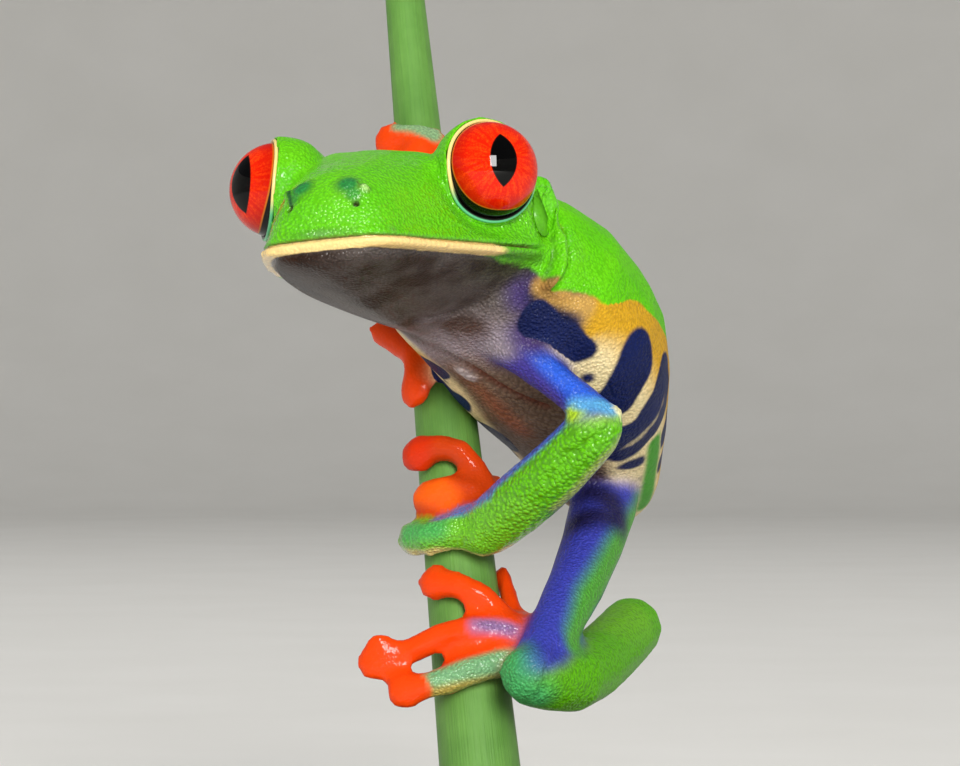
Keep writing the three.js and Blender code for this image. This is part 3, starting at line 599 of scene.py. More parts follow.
def sculpt_mouth(co, out):
    """A thin dark parting over a rolled pale lip, with the throat set a little behind the lip."""
    places = head_places(co)
    rise = above_lip(places)
    parting, upper, roll, under = (
        ridge(rise - middle, width, height) for middle, width, height in (PARTING, UPPER_LIP, LIP_ROLL, UNDER_LIP)
    )
    forward, left = places[:, 0], places[:, 1]
    near_front = smooth_step(-4.5, 0, forward)
    ripple = 1 + 0.25 * np.sin(left * 2.1) * np.sin(left * 0.7)
    upper = upper * smooth_step(-4.6, -3.2, left)
    roll = roll * ripple * near_front * (1 - 0.9 * smooth_step(-2.6, -4.0, left))
    open_part = smooth_step(MOUTH_CORNER - 0.4, MOUTH_CORNER + 0.9, forward)
    return co + out * ((parting + upper + roll + under * near_front) * open_part)[:, None]


# Round each nostril, in the head's measures for the left: a swelling, a wet bead, the slit between
# them and the hole below, with each one's width and height.
NOSTRIL_FORMS = [
    ((11.4, 1.95, -2.2), 0.9, 0.28), ((11.2, 2.98, -2.5), 0.4, 0.42), ((11.0, 2.6, -2.02), 0.15, -0.3),
    ((12.05, 2.68, -3.5), 0.25, -0.55),
]


def sculpt_nostrils(co, out):
    places = head_places(co)
    for side in (1, -1):
        for middle, width, height in NOSTRIL_FORMS:
            away = np.linalg.norm(places - np.array(middle) * (1, side, 1), axis=1)
            co = co + out * ridge(away, width, height)[:, None]
    return co


# Creases and swellings of the trunk and limbs in the figure's own axes, then their width and height.
CREASES = [
    ([(7.1, -10.7, 43.6), (6.0, -10.9, 42.9), (5.0, -10.7, 42.2), (4.1, -10.1, 41.7), (3.0, -9.5, 41.2)], 0.3, -0.3),
    ([(-5.3, -5.2, 49.2), (-3.9, -4.7, 48.3), (-2.6, -4.1, 47.5), (-1.4, -3.6, 46.7), (-0.5, -3.3, 46.2),
      (0.3, -3.2, 45.8), (1.3, -2.9, 45.4), (2.2, -2.7, 45.0)], 0.38, -0.42),
    ([(-4.9, -5.9, 49.7), (-3.4, -5.5, 48.9), (-1.0, -4.6, 47.5), (1.0, -4.0, 46.4)], 0.6, 0.22),
    ([(-4.4, -3.6, 48.0), (-3.8, -3.3, 47.5)], 0.6, 0.3),
    ([(-7.6, -10.8, 51.8), (-6.1, -10.3, 52.1), (-4.5, -9.8, 52.5), (-2.7, -10.4, 53.2), (-1.5, -10.7, 53.8),
      (-0.2, -10.8, 54.5)], 0.4, -0.3),
    ([(-2.8, -4.3, 36.3), (-2.9, -3.9, 35.3), (-2.8, -3.6, 34.5)], 0.26, -0.16),
    ([(-4.2, -2.9, 35.9), (-3.6, -3.6, 36.0)], 0.24, -0.18),
    ([(3.1, -9.1, 26.6), (2.5, -10.9, 25.6), (2.1, -11.5, 24.5), (1.8, -11.3, 23.4)], 0.35, -0.35),
    ([(6.2, -10.9, 42.9), (5.0, -10.7, 42.1), (4.1, -10.0, 41.2), (3.2, -9.3, 40.4), (2.2, -8.7, 39.5)], 0.42, -0.3),
    ([(-1.0, -6.1, 37.9), (-2.1, -5.2, 37.2), (-3.2, -3.9, 36.6)], 0.25, -0.2),
]
# A filled dip between the right brow and the crown, in the head's measures.
BROW_DIP = ((3.4, -3.4, 1.6), 2.3, 0.5)


def sculpt_folds(co, out):
    places = head_places(co)
    rows = list(zip(fold_distances(places), FOLDS))
    rows += [(along_line(co, through(row[0], 4))[0], row) for row in CREASES]
    rows.append((np.linalg.norm(places - BROW_DIP[0], axis=1), BROW_DIP))
    for away, (_, width, height) in rows:
        co = co + out * ridge(away, width, height)[:, None]
    return co


# --- Skin: markings ---------------------------------------------------------------------------

# The lower edge of the green, as distance along the torso and degrees up from its side.
GREEN_EDGE = [
    (-4, -8), (4, -8), (6.8, -12), (7.7, -17), (8.3, -20), (9.0, -19), (9.6, -15), (9.8, -17), (10.3, -16),
    (10.7, -12), (11.1, -10), (11.9, -9), (12.2, -5), (12.5, -1), (12.8, 5), (13.3, 9), (13.8, 12), (14.8, 13),
    (15.6, 16), (17, 20), (19, 20), (22, 25), (25, 30), (28, 30), (32, 28), (40, 24),
]
# The same edge on the head, as forward and up: over the lip, then down round the corner of the mouth.
HEAD_GREEN_EDGE = [
    (-14, -9.8), (-9, -9.3), (-6.5, -8.9), (-5.4, -7.9), (-4.6, -7.2), (-2.5, -6.95), (-0.9, -6.85), (1.2, -6.75),
    (2.0, -5.95), (3.4, -5.97), (7.4, -6.07), (10.6, -6.12), (12.8, -6.12),
]
# Dark blue patches between the cream bars of the flank, in the torso's two measures.
PATCHES = [
    [(8.5, -27), (9.3, -27), (10.1, -27), (10.9, -29), (11.1, -25), (11.7, -24), (12.5, -24), (12.9, -22),
     (13.4, -25), (13.5, -30), (13.4, -35), (13.1, -42), (12.2, -50), (10.6, -54), (9.0, -47), (8.2, -37)],
    [(14.4, -42), (14.1, -36), (14.6, -31), (15.2, -36)],
    [(14.2, 1), (14.9, 3), (15.8, 2), (16.7, -1), (17.4, -5), (17.8, -12), (18.5, -19), (19.2, -26), (18.8, -38),
     (17.0, -46), (16.0, -40), (16.3, -35), (15.8, -30), (15.0, -24), (14.6, -19), (14.1, -14), (13.9, -7)],
    [(18.1, 10), (19.4, 15), (21.2, 14), (23.0, 10), (24.3, -4), (24.8, -18), (25.4, -30), (25.2, -46), (23.4, -58),
     (20.4, -56), (19.9, -40), (20.6, -27), (20.0, -19), (19.5, -13), (18.9, -6), (18.1, 0)],
    [(25.6, 22), (27.6, 22), (28.6, 6), (28.0, -18), (27.0, -40), (26.0, -46), (26.2, -20), (25.8, 0), (25.4, 12)],
    [(30.2, 22), (32.2, 19), (32.4, -4), (31.2, -24), (29.4, -34), (29.8, 4)],
]
# Thin cream lines over the rear patches in the same measures, and their half width.
THIN_LINE_WIDTH = 0.2
THIN_LINES = [
    [(21.0, 8), (21.3, 1), (22.4, -12), (22.8, -24), (23.4, -38), (24.5, -47)],
    [(22.1, -7), (23.0, -18), (23.6, -31)],
]
# Millimetres across the flank for each degree round it.
FLANK_SCALE = 7.6 * math.pi / 180
# The green lobe that runs down from the hip, along its middle, and its half width.
HIP_LOBE = [(11.2, 5.4, 42.2), (11.1, 6.9, 41.3), (11.0, 9.1, 39.9), (10.8, 11.6, 38.2), (10.6, 13.8, 36.9)]
HIP_LOBE_WIDTH = 1.0

# Ground colour of each limb part, then colours on the sides of it that face a way: low and high cosine.
LIMB_TINTS = {
    "left_upper_arm": ("#22389e", [("#352e8c", (-0.8, 0.2, -0.5), 0.2, 0.9)]),
    "left_forearm": ("#5eb208", [("#4a68cc", (-0.54, 0.1, 0.83), 0.62, 0.86), ("#9bb04a", (0.5, 0.1, -0.85), 0.6, 0.9),
                                 ("#7c86b8", (0.5, 0.45, -0.75), 0.7, 0.95)]),
    # The left thigh's side that faces back, away from the key light, is painted darker navy: painted shade.
    "left_thigh": ("#3a40a8", [("#232a7c", (0.2, 0.9, 0.2), 0.2, 0.9)]),
    "left_shank": ("#5aac0a", [("#4a50b0", (-0.5, 0.7, -0.5), 0.35, 0.95)]),
    "left_tarsus": ("#e0622a", [("#8a72b4", (0.0, -0.4, 0.9), 0.2, 0.8)]),
    "right_upper_arm": ("#2c44ac", []),
    "right_forearm": ("#66b80c", [("#4a68cc", (0.3, 0.2, -0.9), 0.4, 0.8)]),
    "right_thigh": ("#3a40a8", [("#58a828", (0.1, 0.5, 0.8), 0.4, 0.8)]),
    "right_shank": ("#5aac0a", [("#4a50b0", (0.4, 0.5, -0.7), 0.15, 0.95)]),
    "right_tarsus": ("#e0622a", [("#8a72b4", (0.0, -0.4, 0.9), 0.2, 0.8)]),
}
ARM, HAND = ["left_forearm", "left_upper_arm"], ["left_hand", "left_forearm"]
FOOT, LEG = ["left_foot"], ["left_thigh", "left_shank"]
SHOULDER = ["torso", "head", "left_upper_arm"]
# Soft strokes of colour laid over that: the parts they tint, their points, half width, soft edge and colour.
STROKES = [
    # Darker orange-brown over the whole left hand: partly its deeper own colour, partly painted shade.
    (["left_hand"], [(-9.0, 3.0, 43.0), (-6.0, 2.0, 38.0), (-3.0, 1.0, 37.0)], 3.4, 2.0, "#b43606"),
    # Lighter, brighter blue along the top of the upper arm: painted highlight.
    (ARM, [(0.6, -8.95, 49.6), (3.0, -9.2, 47.7), (5.4, -9.9, 46.0)], 0.6, 0.9, "#2c5cd0"),
    (ARM, [(-1.1, -8.7, 49.4), (0.9, -8.6, 47.2), (2.5, -8.5, 45.7)], 0.8, 0.9, "#3c3288"),
    (ARM, [(4.4, -9.7, 45.2), (7.0, -10.1, 45.2)], 0.45, 0.7, "#58a0d0"),
    (ARM, [(4.1, -9.5, 44.6), (5.4, -9.9, 44.3)], 0.45, 0.35, "#a8cc28"),
    (ARM, [(7.8, -9.6, 45.1), (8.0, -9.4, 44.7)], 0.45, 0.3, "#eee6b0"),
    (HAND, [(0.6, -5.2, 36.8), (-2.5, -4.2, 35.9), (-5.0, -2.6, 35.4), (-7.0, -2.0, 34.8), (-8.9, -0.1, 34.5)],
     2.0, 0.6, "#68b422"),
    (HAND, [(0.6, -5.2, 36.6), (-1.4, -3.6, 34.6), (-2.8, -3.0, 34.0)], 2.0, 0.5, "#68b41c"),
    (HAND, [(-6.6, -2.2, 35.6), (-8.0, -1.6, 35.4), (-8.9, 0.0, 35.2)], 0.6, 1.2, "#4aa850"),
    (HAND, [(-8.6, 0.6, 33.3), (-6.4, -1.3, 33.5), (-3.8, -1.6, 33.4), (-2.2, -1.8, 33.4), (-0.6, -2.5, 34.0)],
     0.5, 0.4, "#cfc078"),
    (HAND, [(-6.4, -0.9, 36.6), (-5.3, -1.4, 36.8), (-4.2, -1.8, 37.1), (-3.2, -3.0, 37.8), (-2.2, -4.2, 38.5)],
     0.55, 0.5, "#4a74b8"),
    (["left_hand"], [(-7.8, 1.2, 38.5), (-6.2, 0.2, 38.4), (-5.3, 0.4, 37.8)], 0.9, 0.9, "#e65808"),
    # Darker red on the second finger's disc: painted shade.
    (["left_hand"], [(-8.6, 2.8, 41.2), (-8.0, 3.2, 42.6)], 1.4, 1.2, "#c42c04"),
    (FOOT, [(-3.4, -5.3, 28.0), (-2.0, -5.4, 28.1), (-0.4, -5.4, 27.7)], 0.4, 0.7, "#8c6a98"),
    (FOOT, [(-6.7, -7.0, 23.5), (-3.8, -7.3, 24.4), (-1.5, -6.7, 24.9), (0.6, -6.6, 25.2)], 1.2, 0.5, "#78ac78"),
    (FOOT, [(-6.4, -6.9, 22.7), (-3.8, -7.1, 23.3), (-1.5, -6.6, 23.7)], 0.5, 0.6, "#b8a250"),
    (FOOT, [(-8.8, -6.7, 23.0), (-8.6, -6.7, 23.0)], 1.7, 0.4, "#e04004"),
    (LEG, [(10.2, 12.1, 37.4), (8.2, 2.6, 34.0), (5.6, -4.0, 30.0), (4.4, -6.8, 27.1)], 1.0, 1.3, "#4f9c34"),
    (LEG, [(-1.1, -10.4, 25.8), (0.2, -11.0, 23.4), (0.8, -11.0, 22.7)], 1.3, 2.0, "#449e58"),
    # Lighter green over the far end of the shank: painted light against its shading.
    (LEG, [(9.0, 10.0, 28.5), (6.0, 4.0, 27.0)], 2.0, 2.0, "#6cb61a"),
    # Dark navy where the thigh meets the torso: painted shade in the groin.
    (["torso", "left_thigh"], [(5.9, 6.0, 38.3), (7.5, 4.9, 37.6), (8.2, 3.8, 36.0), (5.0, 2.6, 36.0)], 0.8, 1.8,
     "#1e1c4a"),
    # The green lobe down from the hip, darker than the back: its own green with painted shade.
    (["torso", "left_thigh"], HIP_LOBE, 0.7, 0.5, "#3f9420"),
    (["torso"], [(-5.3, -4.0, 47.4), (-1.4, -0.4, 44.9), (0.2, 1.1, 43.3)], 0.5, 1.4, "#8c5840"),
    (SHOULDER, [(-2.4, -7.6, 50.2), (-1.2, -8.6, 50.2)], 1.0, 1.2, "#8c8088"),
    (SHOULDER, [(0.8, -10.3, 53.7), (2.0, -10.0, 53.4), (1.6, -9.3, 51.8), (0.9, -8.6, 50.7)], 1.2, 1.6, "#443468"),
    (SHOULDER, [(2.0, -10.2, 53.6), (2.8, -9.5, 52.6), (3.4, -9.1, 51.6)], 1.1, 1.0, "#10163c"),
    (["torso", "head"], [(1.7, -10.3, 54.4), (2.4, -10.0, 53.8), (4.0, -9.3, 53.3), (5.2, -8.8, 53.0)], 0.5, 0.7,
     "#c49a50"),
    (["torso", "head"], [(3.0, -10.1, 54.8), (2.3, -10.1, 54.1)], 0.45, 0.5, "#b08c4c"),
    # A thin reddish-brown line along the chest crease: painted shade in the crease.
    (["torso"], [(-5.3, -5.2, 49.2), (-3.9, -4.7, 48.3), (-1.4, -3.6, 46.7), (0.3, -3.2, 45.8), (2.2, -2.7, 45.0)],
     0.1, 0.5, "#7c4434"),
    (["torso"], [(-4.4, -3.6, 48.0), (-3.8, -3.3, 47.5)], 0.4, 0.5, "#b8acac"),
    (["right_hand"], [(-9.6, 15.2, 68.8), (-8.1, 14.6, 68.4), (-7.0, 14.1, 67.7)], 0.8, 0.5, "#86a878"),
]


def torso_places(co):
    """How far along the torso each vertex is, and its angle up from the side in degrees."""
    line = through(TORSO_PATH, 24)
    way = np.gradient(line, axis=0)
    way /= np.linalg.norm(way, axis=1)[:, None]
    lengths = np.r_[0, np.cumsum(np.linalg.norm(np.diff(line, axis=0), axis=1))]
    best = np.full(len(co), 1e9)
    along, turn = np.zeros(len(co)), np.zeros(len(co))
    for point, forward, length in zip(line, way, lengths):
        side = unit(TORSO_SIDE - forward * (forward @ TORSO_SIDE))
        upward = np.cross(side, forward)
        away = co - point
        gap = np.linalg.norm(away, axis=1)
        nearer = gap < best
        best = np.where(nearer, gap, best)
        along = np.where(nearer, length + away @ forward, along)
        turn = np.where(nearer, np.degrees(np.arctan2(away @ upward, np.abs(away @ side))), turn)
    return along, turn


def node_shares(co, links):
    """How much of each vertex belongs to each part of the flesh, blended across the joins."""
    verts, faces, owner = [], [], []
    for number, name in enumerate(FLESH):
        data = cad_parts[name].data
        data.calc_loop_triangles()
        base = len(verts)
        verts += [tuple(v.co / MM) for v in data.vertices]
        faces += [tuple(base + i for i in t.vertices) for t in data.loop_triangles]
        owner += [number] * len(data.loop_triangles)
    tree = BVHTree.FromPolygons(verts, faces)
    shares = np.zeros((len(co), len(FLESH)))
    for i, point in enumerate(co):
        shares[i, owner[tree.find_nearest(Vector(point))[2]]] = 1
    for _ in range(7):
        shares = 0.5 * shares + 0.5 * averaged(shares, links)
    return dict(zip(FLESH, (shares / shares.sum(axis=1)[:, None]).T))


def underside(places, rise, along, settings):
    """Soft colours below, with painted shade from the light above: a painted shadow under the lip in dark brown and
    dark olive, a grey throat darkened by painted shade, a grey chest, then a warmer belly.
    """
    forward, left, up = places.T
    belly = mix(plain(settings.belly, len(places)), "#968890", smooth_step(13, 5, along))
    # Dark grey throat: its own grey darkened by painted shade.
    throat = plain("#544c48", len(places))
    spot = np.linalg.norm(places - (-4.6, -3.4, -10.6), axis=1)
    for code, share in (
        ("#8c7e82", smooth_step(-2.5, -6.0, rise) * smooth_step(2, -4, forward)),
        # Painted shadow under the lip: dark brown toward the front, dark olive beside it.
        ("#2c1608", 0.95 * smooth_step(-4.5, -0.5, rise) * smooth_step(4, -2.5, left)),
        ("#3a4412", 0.7 * smooth_step(-2.4, -0.3, rise) * smooth_step(4, -2, forward)),
        ("#3a2a10", 0.6 * smooth_step(3.4, 0.6, spot)),
    ):
        throat = mix(throat, code, share)
    return belly, throat


# Soft marks over the green of the head, in the head's measures for the left and mirrored for the
# right: points, half width, soft edge, colour, strength, and the sides that have it.
BOTH, LEFT, RIGHT = (1, -1), (1,), (-1,)
HEAD_MARKS = [
    ([(11.4, 1.8, -2.1)], 0.35, 1.1, "#127040", 0.8, BOTH),
    ([(11.75, 2.3, -2.9)], 0.3, 0.65, "#1f8040", 0.65, BOTH),
    ([(12.6, 0.0, -5.7), (12.2, 2.6, -5.7), (10.8, 4.8, -5.75)], 0.12, 0.5, "#93a888", 0.55, BOTH),
    # A pale bead on the left nostril: painted highlight of a wet bead.
    ([(11.2, 2.98, -2.5)], 0.2, 0.36, "#a8d478", 0.8, LEFT),
    # Dark lines in the nostril slits and dark brown in the holes below: painted shade in these recesses.
    ([(11.0, 2.5, -2.05), (11.3, 2.6, -2.5)], 0.06, 0.2, "#5a4420", 0.8, LEFT),
    ([(11.2, 2.7, -2.3), (11.9, 2.6, -3.2)], 0.08, 0.22, "#1c4420", 0.85, RIGHT),
    ([(12.05, 2.68, -3.52)], 0.16, 0.24, "#33240f", 0.9, BOTH),
    # A darker green strip along the side of the jaw: painted shade under the jaw.
    ([(-0.2, 9.6, -6.6), (-2.5, 10.3, -6.5), (-4.6, 10.9, -6.5)], 0.3, 0.5, "#3c6410", 0.5, BOTH),
    # Darker green along the grooves behind the eye: painted shade in the grooves.
    ([(-6.4, 11.3, -4.8), (-6.0, 11.55, -5.9), (-5.7, 11.35, -7.0), (-5.4, 10.9, -7.9)], 0.04, 0.26, "#3c6c12", 0.5,
     BOTH),
    ([(-8.75, 10.9, -2.1), (-7.8, 11.8, -3.6), (-7.3, 12.4, -5.2), (-7.0, 12.45, -6.5), (-6.5, 12.0, -7.8)],
     0.08, 0.22, "#2c5c0c", 0.6, BOTH),
]
# Brown along the parting of the mouth: painted shade in the slit.
PARTING_SHADE = "#4e3218"


def head_marks(places, settings):
    """The colour of those marks on green, and how much each vertex takes of it."""
    both = folded_over(places)
    color = plain(settings.back, len(places))
    taken = np.zeros(len(places))
    rows = []
    for points, width, soft, code, strength, sides in HEAD_MARKS:
        points = np.array(points)
        away = along_line(both, points)[0] if len(points) > 1 else np.linalg.norm(both - points[0], axis=1)
        held = np.isin(np.where(places[:, 1] > 0, 1, -1), sides)
        rows.append((strength * held * smooth_step(width + soft, width, away), code))
    beside = np.abs(above_lip(places) - LIP_HEIGHT)
    rows.append((0.9 * smooth_step(0.2, 0.05, beside) * smooth_step(-4.6, -2.5, places[:, 0]), PARTING_SHADE))
    for share, code in rows:
        color = mix(color, code, share)
        taken = np.maximum(taken, np.minimum(share * 1.3, 1))
    return color, taken


class SkinPlaces:
    """What the markings are measured by, for each vertex. The small marks of the head and the strokes
    go by the calm skin, as it was before its folds and nostrils."""

    def __init__(self, mesh, calm):
        self.co, self.out, self.calm = coordinates(mesh), normals(mesh), calm
        self.head = head_places(self.co)
        self.rise = above_lip(self.head)
        self.along, self.turn = torso_places(self.co)
        edge = np.array(GREEN_EDGE)
        self.below = np.interp(self.along, edge[:, 0], edge[:, 1]) - self.turn
        self.links = neighbours(mesh)
        self.shares = node_shares(self.co, self.links)
        self.belly = smooth_step(-44, -58, self.turn)
        throat = smooth_step(-9.4, -7.2, self.head[:, 0]) * smooth_step(-13.6, -11.6, self.head[:, 2])
        self.throat = throat * smooth_step(0.15, 0.6, self.shares["head"])


def soft_colors(at, settings):
    """The colours under the crisp markings."""
    count = len(at.co)
    flank = mix(plain(settings.bars, count), linear(settings.band), smooth_step(38, 17, at.below))
    belly, throat = underside(at.head, at.rise, at.along, settings)
    color = mix(mix(flank, belly, at.belly), throat, at.throat)
    for name in LIMB_NODES:
        ground, sides = LIMB_TINTS.get(name, (settings.digits, []))
        limb = plain(ground, count)
        for code, way, low, high in sides:
            limb = mix(limb, code, smooth_step(low, high, at.out @ unit(way)))
        color = mix(color, limb, at.shares[name])
    for parts, points, width, soft, code in STROKES:
        away, _ = along_line(at.calm, np.array(points))
        share = smooth_step(width + soft, width - soft * 0.3, away)
        color = mix(color, code, share * np.minimum(sum(at.shares[part] for part in parts), 1))
    return color


def crisp_edges(at):
    """How far inside the green, the dark patches and the pale lip each vertex lies."""
    def scaled(rows):
        return [(t, a * FLANK_SCALE) for t, a in rows]

    on_trunk = 6 * (at.shares["head"] + at.shares["torso"] - 0.5)
    on_head = smooth_step(-10.5, -8.0, at.head[:, 0]) * smooth_step(-9.6, -8.6, at.head[:, 2])
    green = (1 - on_head) * (-at.below * FLANK_SCALE) + on_head * over_line(at.head, HEAD_GREEN_EDGE)
    green = green * (1 - 0.6 * on_head * smooth_step(1.0, -0.6, at.head[:, 0]))
    green = np.minimum(green, on_trunk)
    flat = np.column_stack([at.along, at.turn * FLANK_SCALE])
    patch = np.full(len(flat), -9.0)
    for corners in PATCHES:
        patch = np.maximum(patch, inside_by(flat, through(scaled(corners + corners[:1]), 3)[:-1]))
    for line in THIN_LINES:
        patch = np.minimum(patch, along_line(flat, through(scaled(line), 4))[0] - THIN_LINE_WIDTH)
    patch = np.minimum(np.minimum(patch, on_trunk), along_line(at.co, np.array(HIP_LOBE))[0] - HIP_LOBE_WIDTH)
    for _ in range(2):
        green, patch = averaged(green, at.links), averaged(patch, at.links)
    lip = np.minimum(np.minimum(at.rise + 0.05, LIP_HEIGHT - at.rise), (at.head[:, 0] - 0.1) * 0.1)
    return green, patch, np.where(at.shares["head"] > 0.3, lip, -1.0)


def surface(at, color, lip):
    """How grainy, coarse, wet and mottled the skin is."""
    def both(bone):
        return at.shares["left_" + bone] + at.shares["right_" + bone]

    head, torso, shank = at.shares["head"], at.shares["torso"], both("shank")
    rough = both("forearm") + shank
    orange = smooth_step(0.0, -0.15, color[:, 1] - 0.6 * color[:, 0])
    bare = (both("foot") + both("hand")) * orange
    calmer = (1 - 0.6 * smooth_step(-0.1, 0.1, lip)) * (1 - ridge(fold_distances(at.head)[0], 0.6, 0.7))
    grain = 0.6 + 0.4 * rough - 0.15 * shank - 0.5 * bare + 0.25 * at.belly * torso
    coarse = 0.35 * torso + 0.65 * at.belly * torso + 0.9 * rough - 0.5 * shank
    wet = 1 - 0.86 * torso - 0.7 * head * smooth_step(0.2, -0.6, at.rise) - 0.8 * shank
    wet = wet - 0.25 * rough * (1 - shank) - 0.6 * bare - 0.55 * head * smooth_step(-0.4, 1.8, at.head[:, 2])
    wet = wet - 0.65 * (both("upper_arm") + both("thigh"))
    mottle = 0.8 * at.throat * smooth_step(0.1, -0.6, at.rise) + 0.35 * at.belly * torso
    return {"grain": grain * calmer, "coarse": coarse, "wet": np.clip(wet, 0, 1), "mottle": mottle}


def paint(mesh, settings, calm):
    """Stores the skin's soft colours, its surface, and the distance to each crisp edge."""
    at = SkinPlaces(mesh, calm)
    color = soft_colors(at, settings)
    green, patch, lip = crisp_edges(at)
    values = surface(at, color, lip)
    marks, taken = head_marks(head_places(calm), settings)
    taken = taken * smooth_step(0.3, 0.6, at.shares["head"])
    write_attribute(mesh, "tint", mix(color, marks, taken), "FLOAT_COLOR")
    values.update(green_edge=green, patch_edge=patch, lip_edge=lip, mark=taken)
    for name, numbers in values.items():
        write_attribute(mesh, name, numbers)


# Amphibian skin: moist and a little see-through, covered in fine rounded granules. A thin wet
# film over it gives small sharp lights on a soft matt body.
def skin_material(settings):
    material, tree = new_material("moist_granular_skin")
    spot = object_place(tree)
    tint, grain = stored(tree, "tint", "Color"), stored(tree, "grain")
    wander = maths(tree, "SUBTRACT", noise(tree, spot, 900.0, 3.0), 0.5)
    blotch = noise(tree, spot, 260.0, 2.0)

    def mask(name, sway, soft):
        """Where a stored distance is over zero, along an edge that wanders a little and is soft."""
        moved = maths(tree, "MULTIPLY_ADD", wander, sway, stored(tree, name))
        return ramp(tree, moved, -soft, soft, kind="SMOOTHSTEP")

    def domes(width):
        """Rounded granules of one width: 1 at their middles and 0 between them."""
        cells = add_node(tree, "ShaderNodeTexVoronoi", {"Vector": spot, "Scale": 1 / width, "Randomness": 0.95},
                         feature="F1")
        return ramp(tree, cells.outputs["Distance"], 0.15, 0.75, 1.0, 0.0, "SMOOTHSTEP")

    dome = add_node(tree, "ShaderNodeMix", {
        0: stored(tree, "coarse"), 2: domes(settings.grain_size), 3: domes(settings.grain_size * 1.45)}).outputs[0]
    navy = blend(tree, blotch, settings.navy, "#12215a")
    green = blend(tree, stored(tree, "mark"), blend(tree, blotch, settings.back, "#6ec814"), tint)
    stain = maths(tree, "MULTIPLY", ramp(tree, blotch, 0.42, 0.62), stored(tree, "mottle"))
    color = blend(tree, stain, tint, blend(tree, 1.0, tint, "#8a6848", "MULTIPLY"))
    color = blend(tree, mask("patch_edge", 0.16, 0.16), color, navy)
    color = blend(tree, mask("green_edge", 0.3, 0.12), color, green)
    color = blend(tree, mask("lip_edge", 0.12, 0.06), color, settings.lip)
    # The skin is painted darker between the granules: painted shade in the hollows between them.
    dark_hollows = ramp(tree, dome, 0.0, 0.45, 0.62, 1.0)
    color = blend(tree, grain, color, blend(tree, 1.0, color, dark_hollows, "MULTIPLY"))
    relief = maths(tree, "MULTIPLY", dome, grain)
    return finish_material(material, color, {
        "Roughness": 0.6, "IOR": 1.4, "Specular IOR Level": 0.1, "Normal": bump(tree, relief, 0.00014),
        "Subsurface Weight": 0.1, "Subsurface Radius": (1.0, 0.6, 0.3), "Subsurface Scale": 0.0005,
        "Coat Weight": stored(tree, "wet"), "Coat Roughness": 0.045, "Coat IOR": 1.43,
        "Coat Normal": bump(tree, relief, 0.0001),
    })


class FROG_OT_skin(bpy.types.Operator):
    """Wrap the flesh of the frog in one granular, marked skin"""

    bl_idname = "frog.skin"
    bl_label = "Skin"

    def execute(self, context):
        settings = context.scene.frog_skin
        piece = skinned(settings.voxel / MM)
        mesh = piece.data
        links = neighbours(mesh)
        co = relaxed(coordinates(mesh), links, RELAX_ROUNDS)
        place(mesh, co)
        place(mesh, co - normals(mesh) * (SWELL - SWELL_KEPT))
        refine(mesh, face_detail(coordinates(mesh), 0.9))
        refine(mesh, face_detail(coordinates(mesh), 0.0))
        links = neighbours(mesh)
        place(mesh, relaxed(coordinates(mesh), links, SETTLE_ROUNDS))
        calm = sculpt_eardrums(sculpt_eyes(coordinates(mesh)))
        place(mesh, calm)
        out = normals(mesh)
        co = sculpt_folds(calm, out)
        co = sculpt_mouth(co, out)
        place(mesh, sculpt_nostrils(co, out))
        paint(mesh, settings, calm)
        place(mesh, coordinates(mesh) * MM)
        mesh.polygons.foreach_set("use_smooth", [True] * len(mesh.polygons))
        mesh.materials.clear()
        mesh.materials.append(skin_material(settings))
        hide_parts(*FLESH)
        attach(piece, "root")
        return {"FINISHED"}


# --- Eyes and eardrums ------------------------------------------------------------------------


# Soft bands in from the border of the iris: degrees where each starts and is full, share and colour. The last,
# near-black band, which also fills all past the border, is the dark sclera and, below the iris, painted shadow of the
# gap under the lower lid.
IRIS_BANDS = [(26.0, 4.0, 0.6, "#a00c02"), (3.0, 1.6, 0.7, "#b8781c"), (1.2, 0.0, 1.0, "#0c0806")]


# Frog eye: a wet, clear cornea over a scarlet iris with fine spokes, and an upright pupil.
def eye_material(settings):
    material, tree = new_material("wet_scarlet_eye")
    gaze, inner = stored(tree, "gaze", "Vector"), stored(tree, "iris_edge")
    split = add_node(tree, "ShaderNodeSeparateXYZ", {0: gaze})
    x, y = split.outputs[0], split.outputs[1]

    def flat_length(across, up):
        flat = add_node(tree, "ShaderNodeCombineXYZ", {0: across, 1: up})
        return add_node(tree, "ShaderNodeVectorMath", {0: flat.outputs[0]}, operation="LENGTH").outputs["Value"]

    # The pupil is where two equal circles cross, so that it comes to a point above and below.
    half_width, half_height = settings.pupil_width / MM / 2, settings.pupil_height / MM / 2
    radius = (half_width ** 2 + half_height ** 2) / (2 * half_width)
    across = maths(tree, "ADD", maths(tree, "ABSOLUTE", x), radius - half_width)
    past_pupil = ramp(tree, flat_length(across, y), radius - 0.03, radius + 0.05)
    turn = maths(tree, "ARCTAN2", y, x)
    spoke_place = add_node(tree, "ShaderNodeCombineXYZ", {0: turn, 1: flat_length(x, y)}).outputs[0]
    spokes = streaks(tree, spoke_place, (9.0, 0.8, 1.0), 4.0)
    texture = maths(tree, "MULTIPLY", spokes, noise(tree, gaze, 7.0, 4.0, Roughness=0.7))
    iris = blend(tree, ramp(tree, texture, 0.22, 0.38), settings.iris, "#ee4208")
    for start, end, share, code in IRIS_BANDS:
        iris = blend(tree, ramp(tree, inner, start, end, 0.0, share), iris, code)
    return finish_material(material, blend(tree, past_pupil, "#020202", iris), {
        "Roughness": 0.5, "IOR": 1.38, "Specular IOR Level": 0.0, "Normal": bump(tree, texture, 0.00006, 0.6),
        "Coat Weight": 0.85, "Coat Roughness": 0.01, "Coat IOR": 1.34,
    })


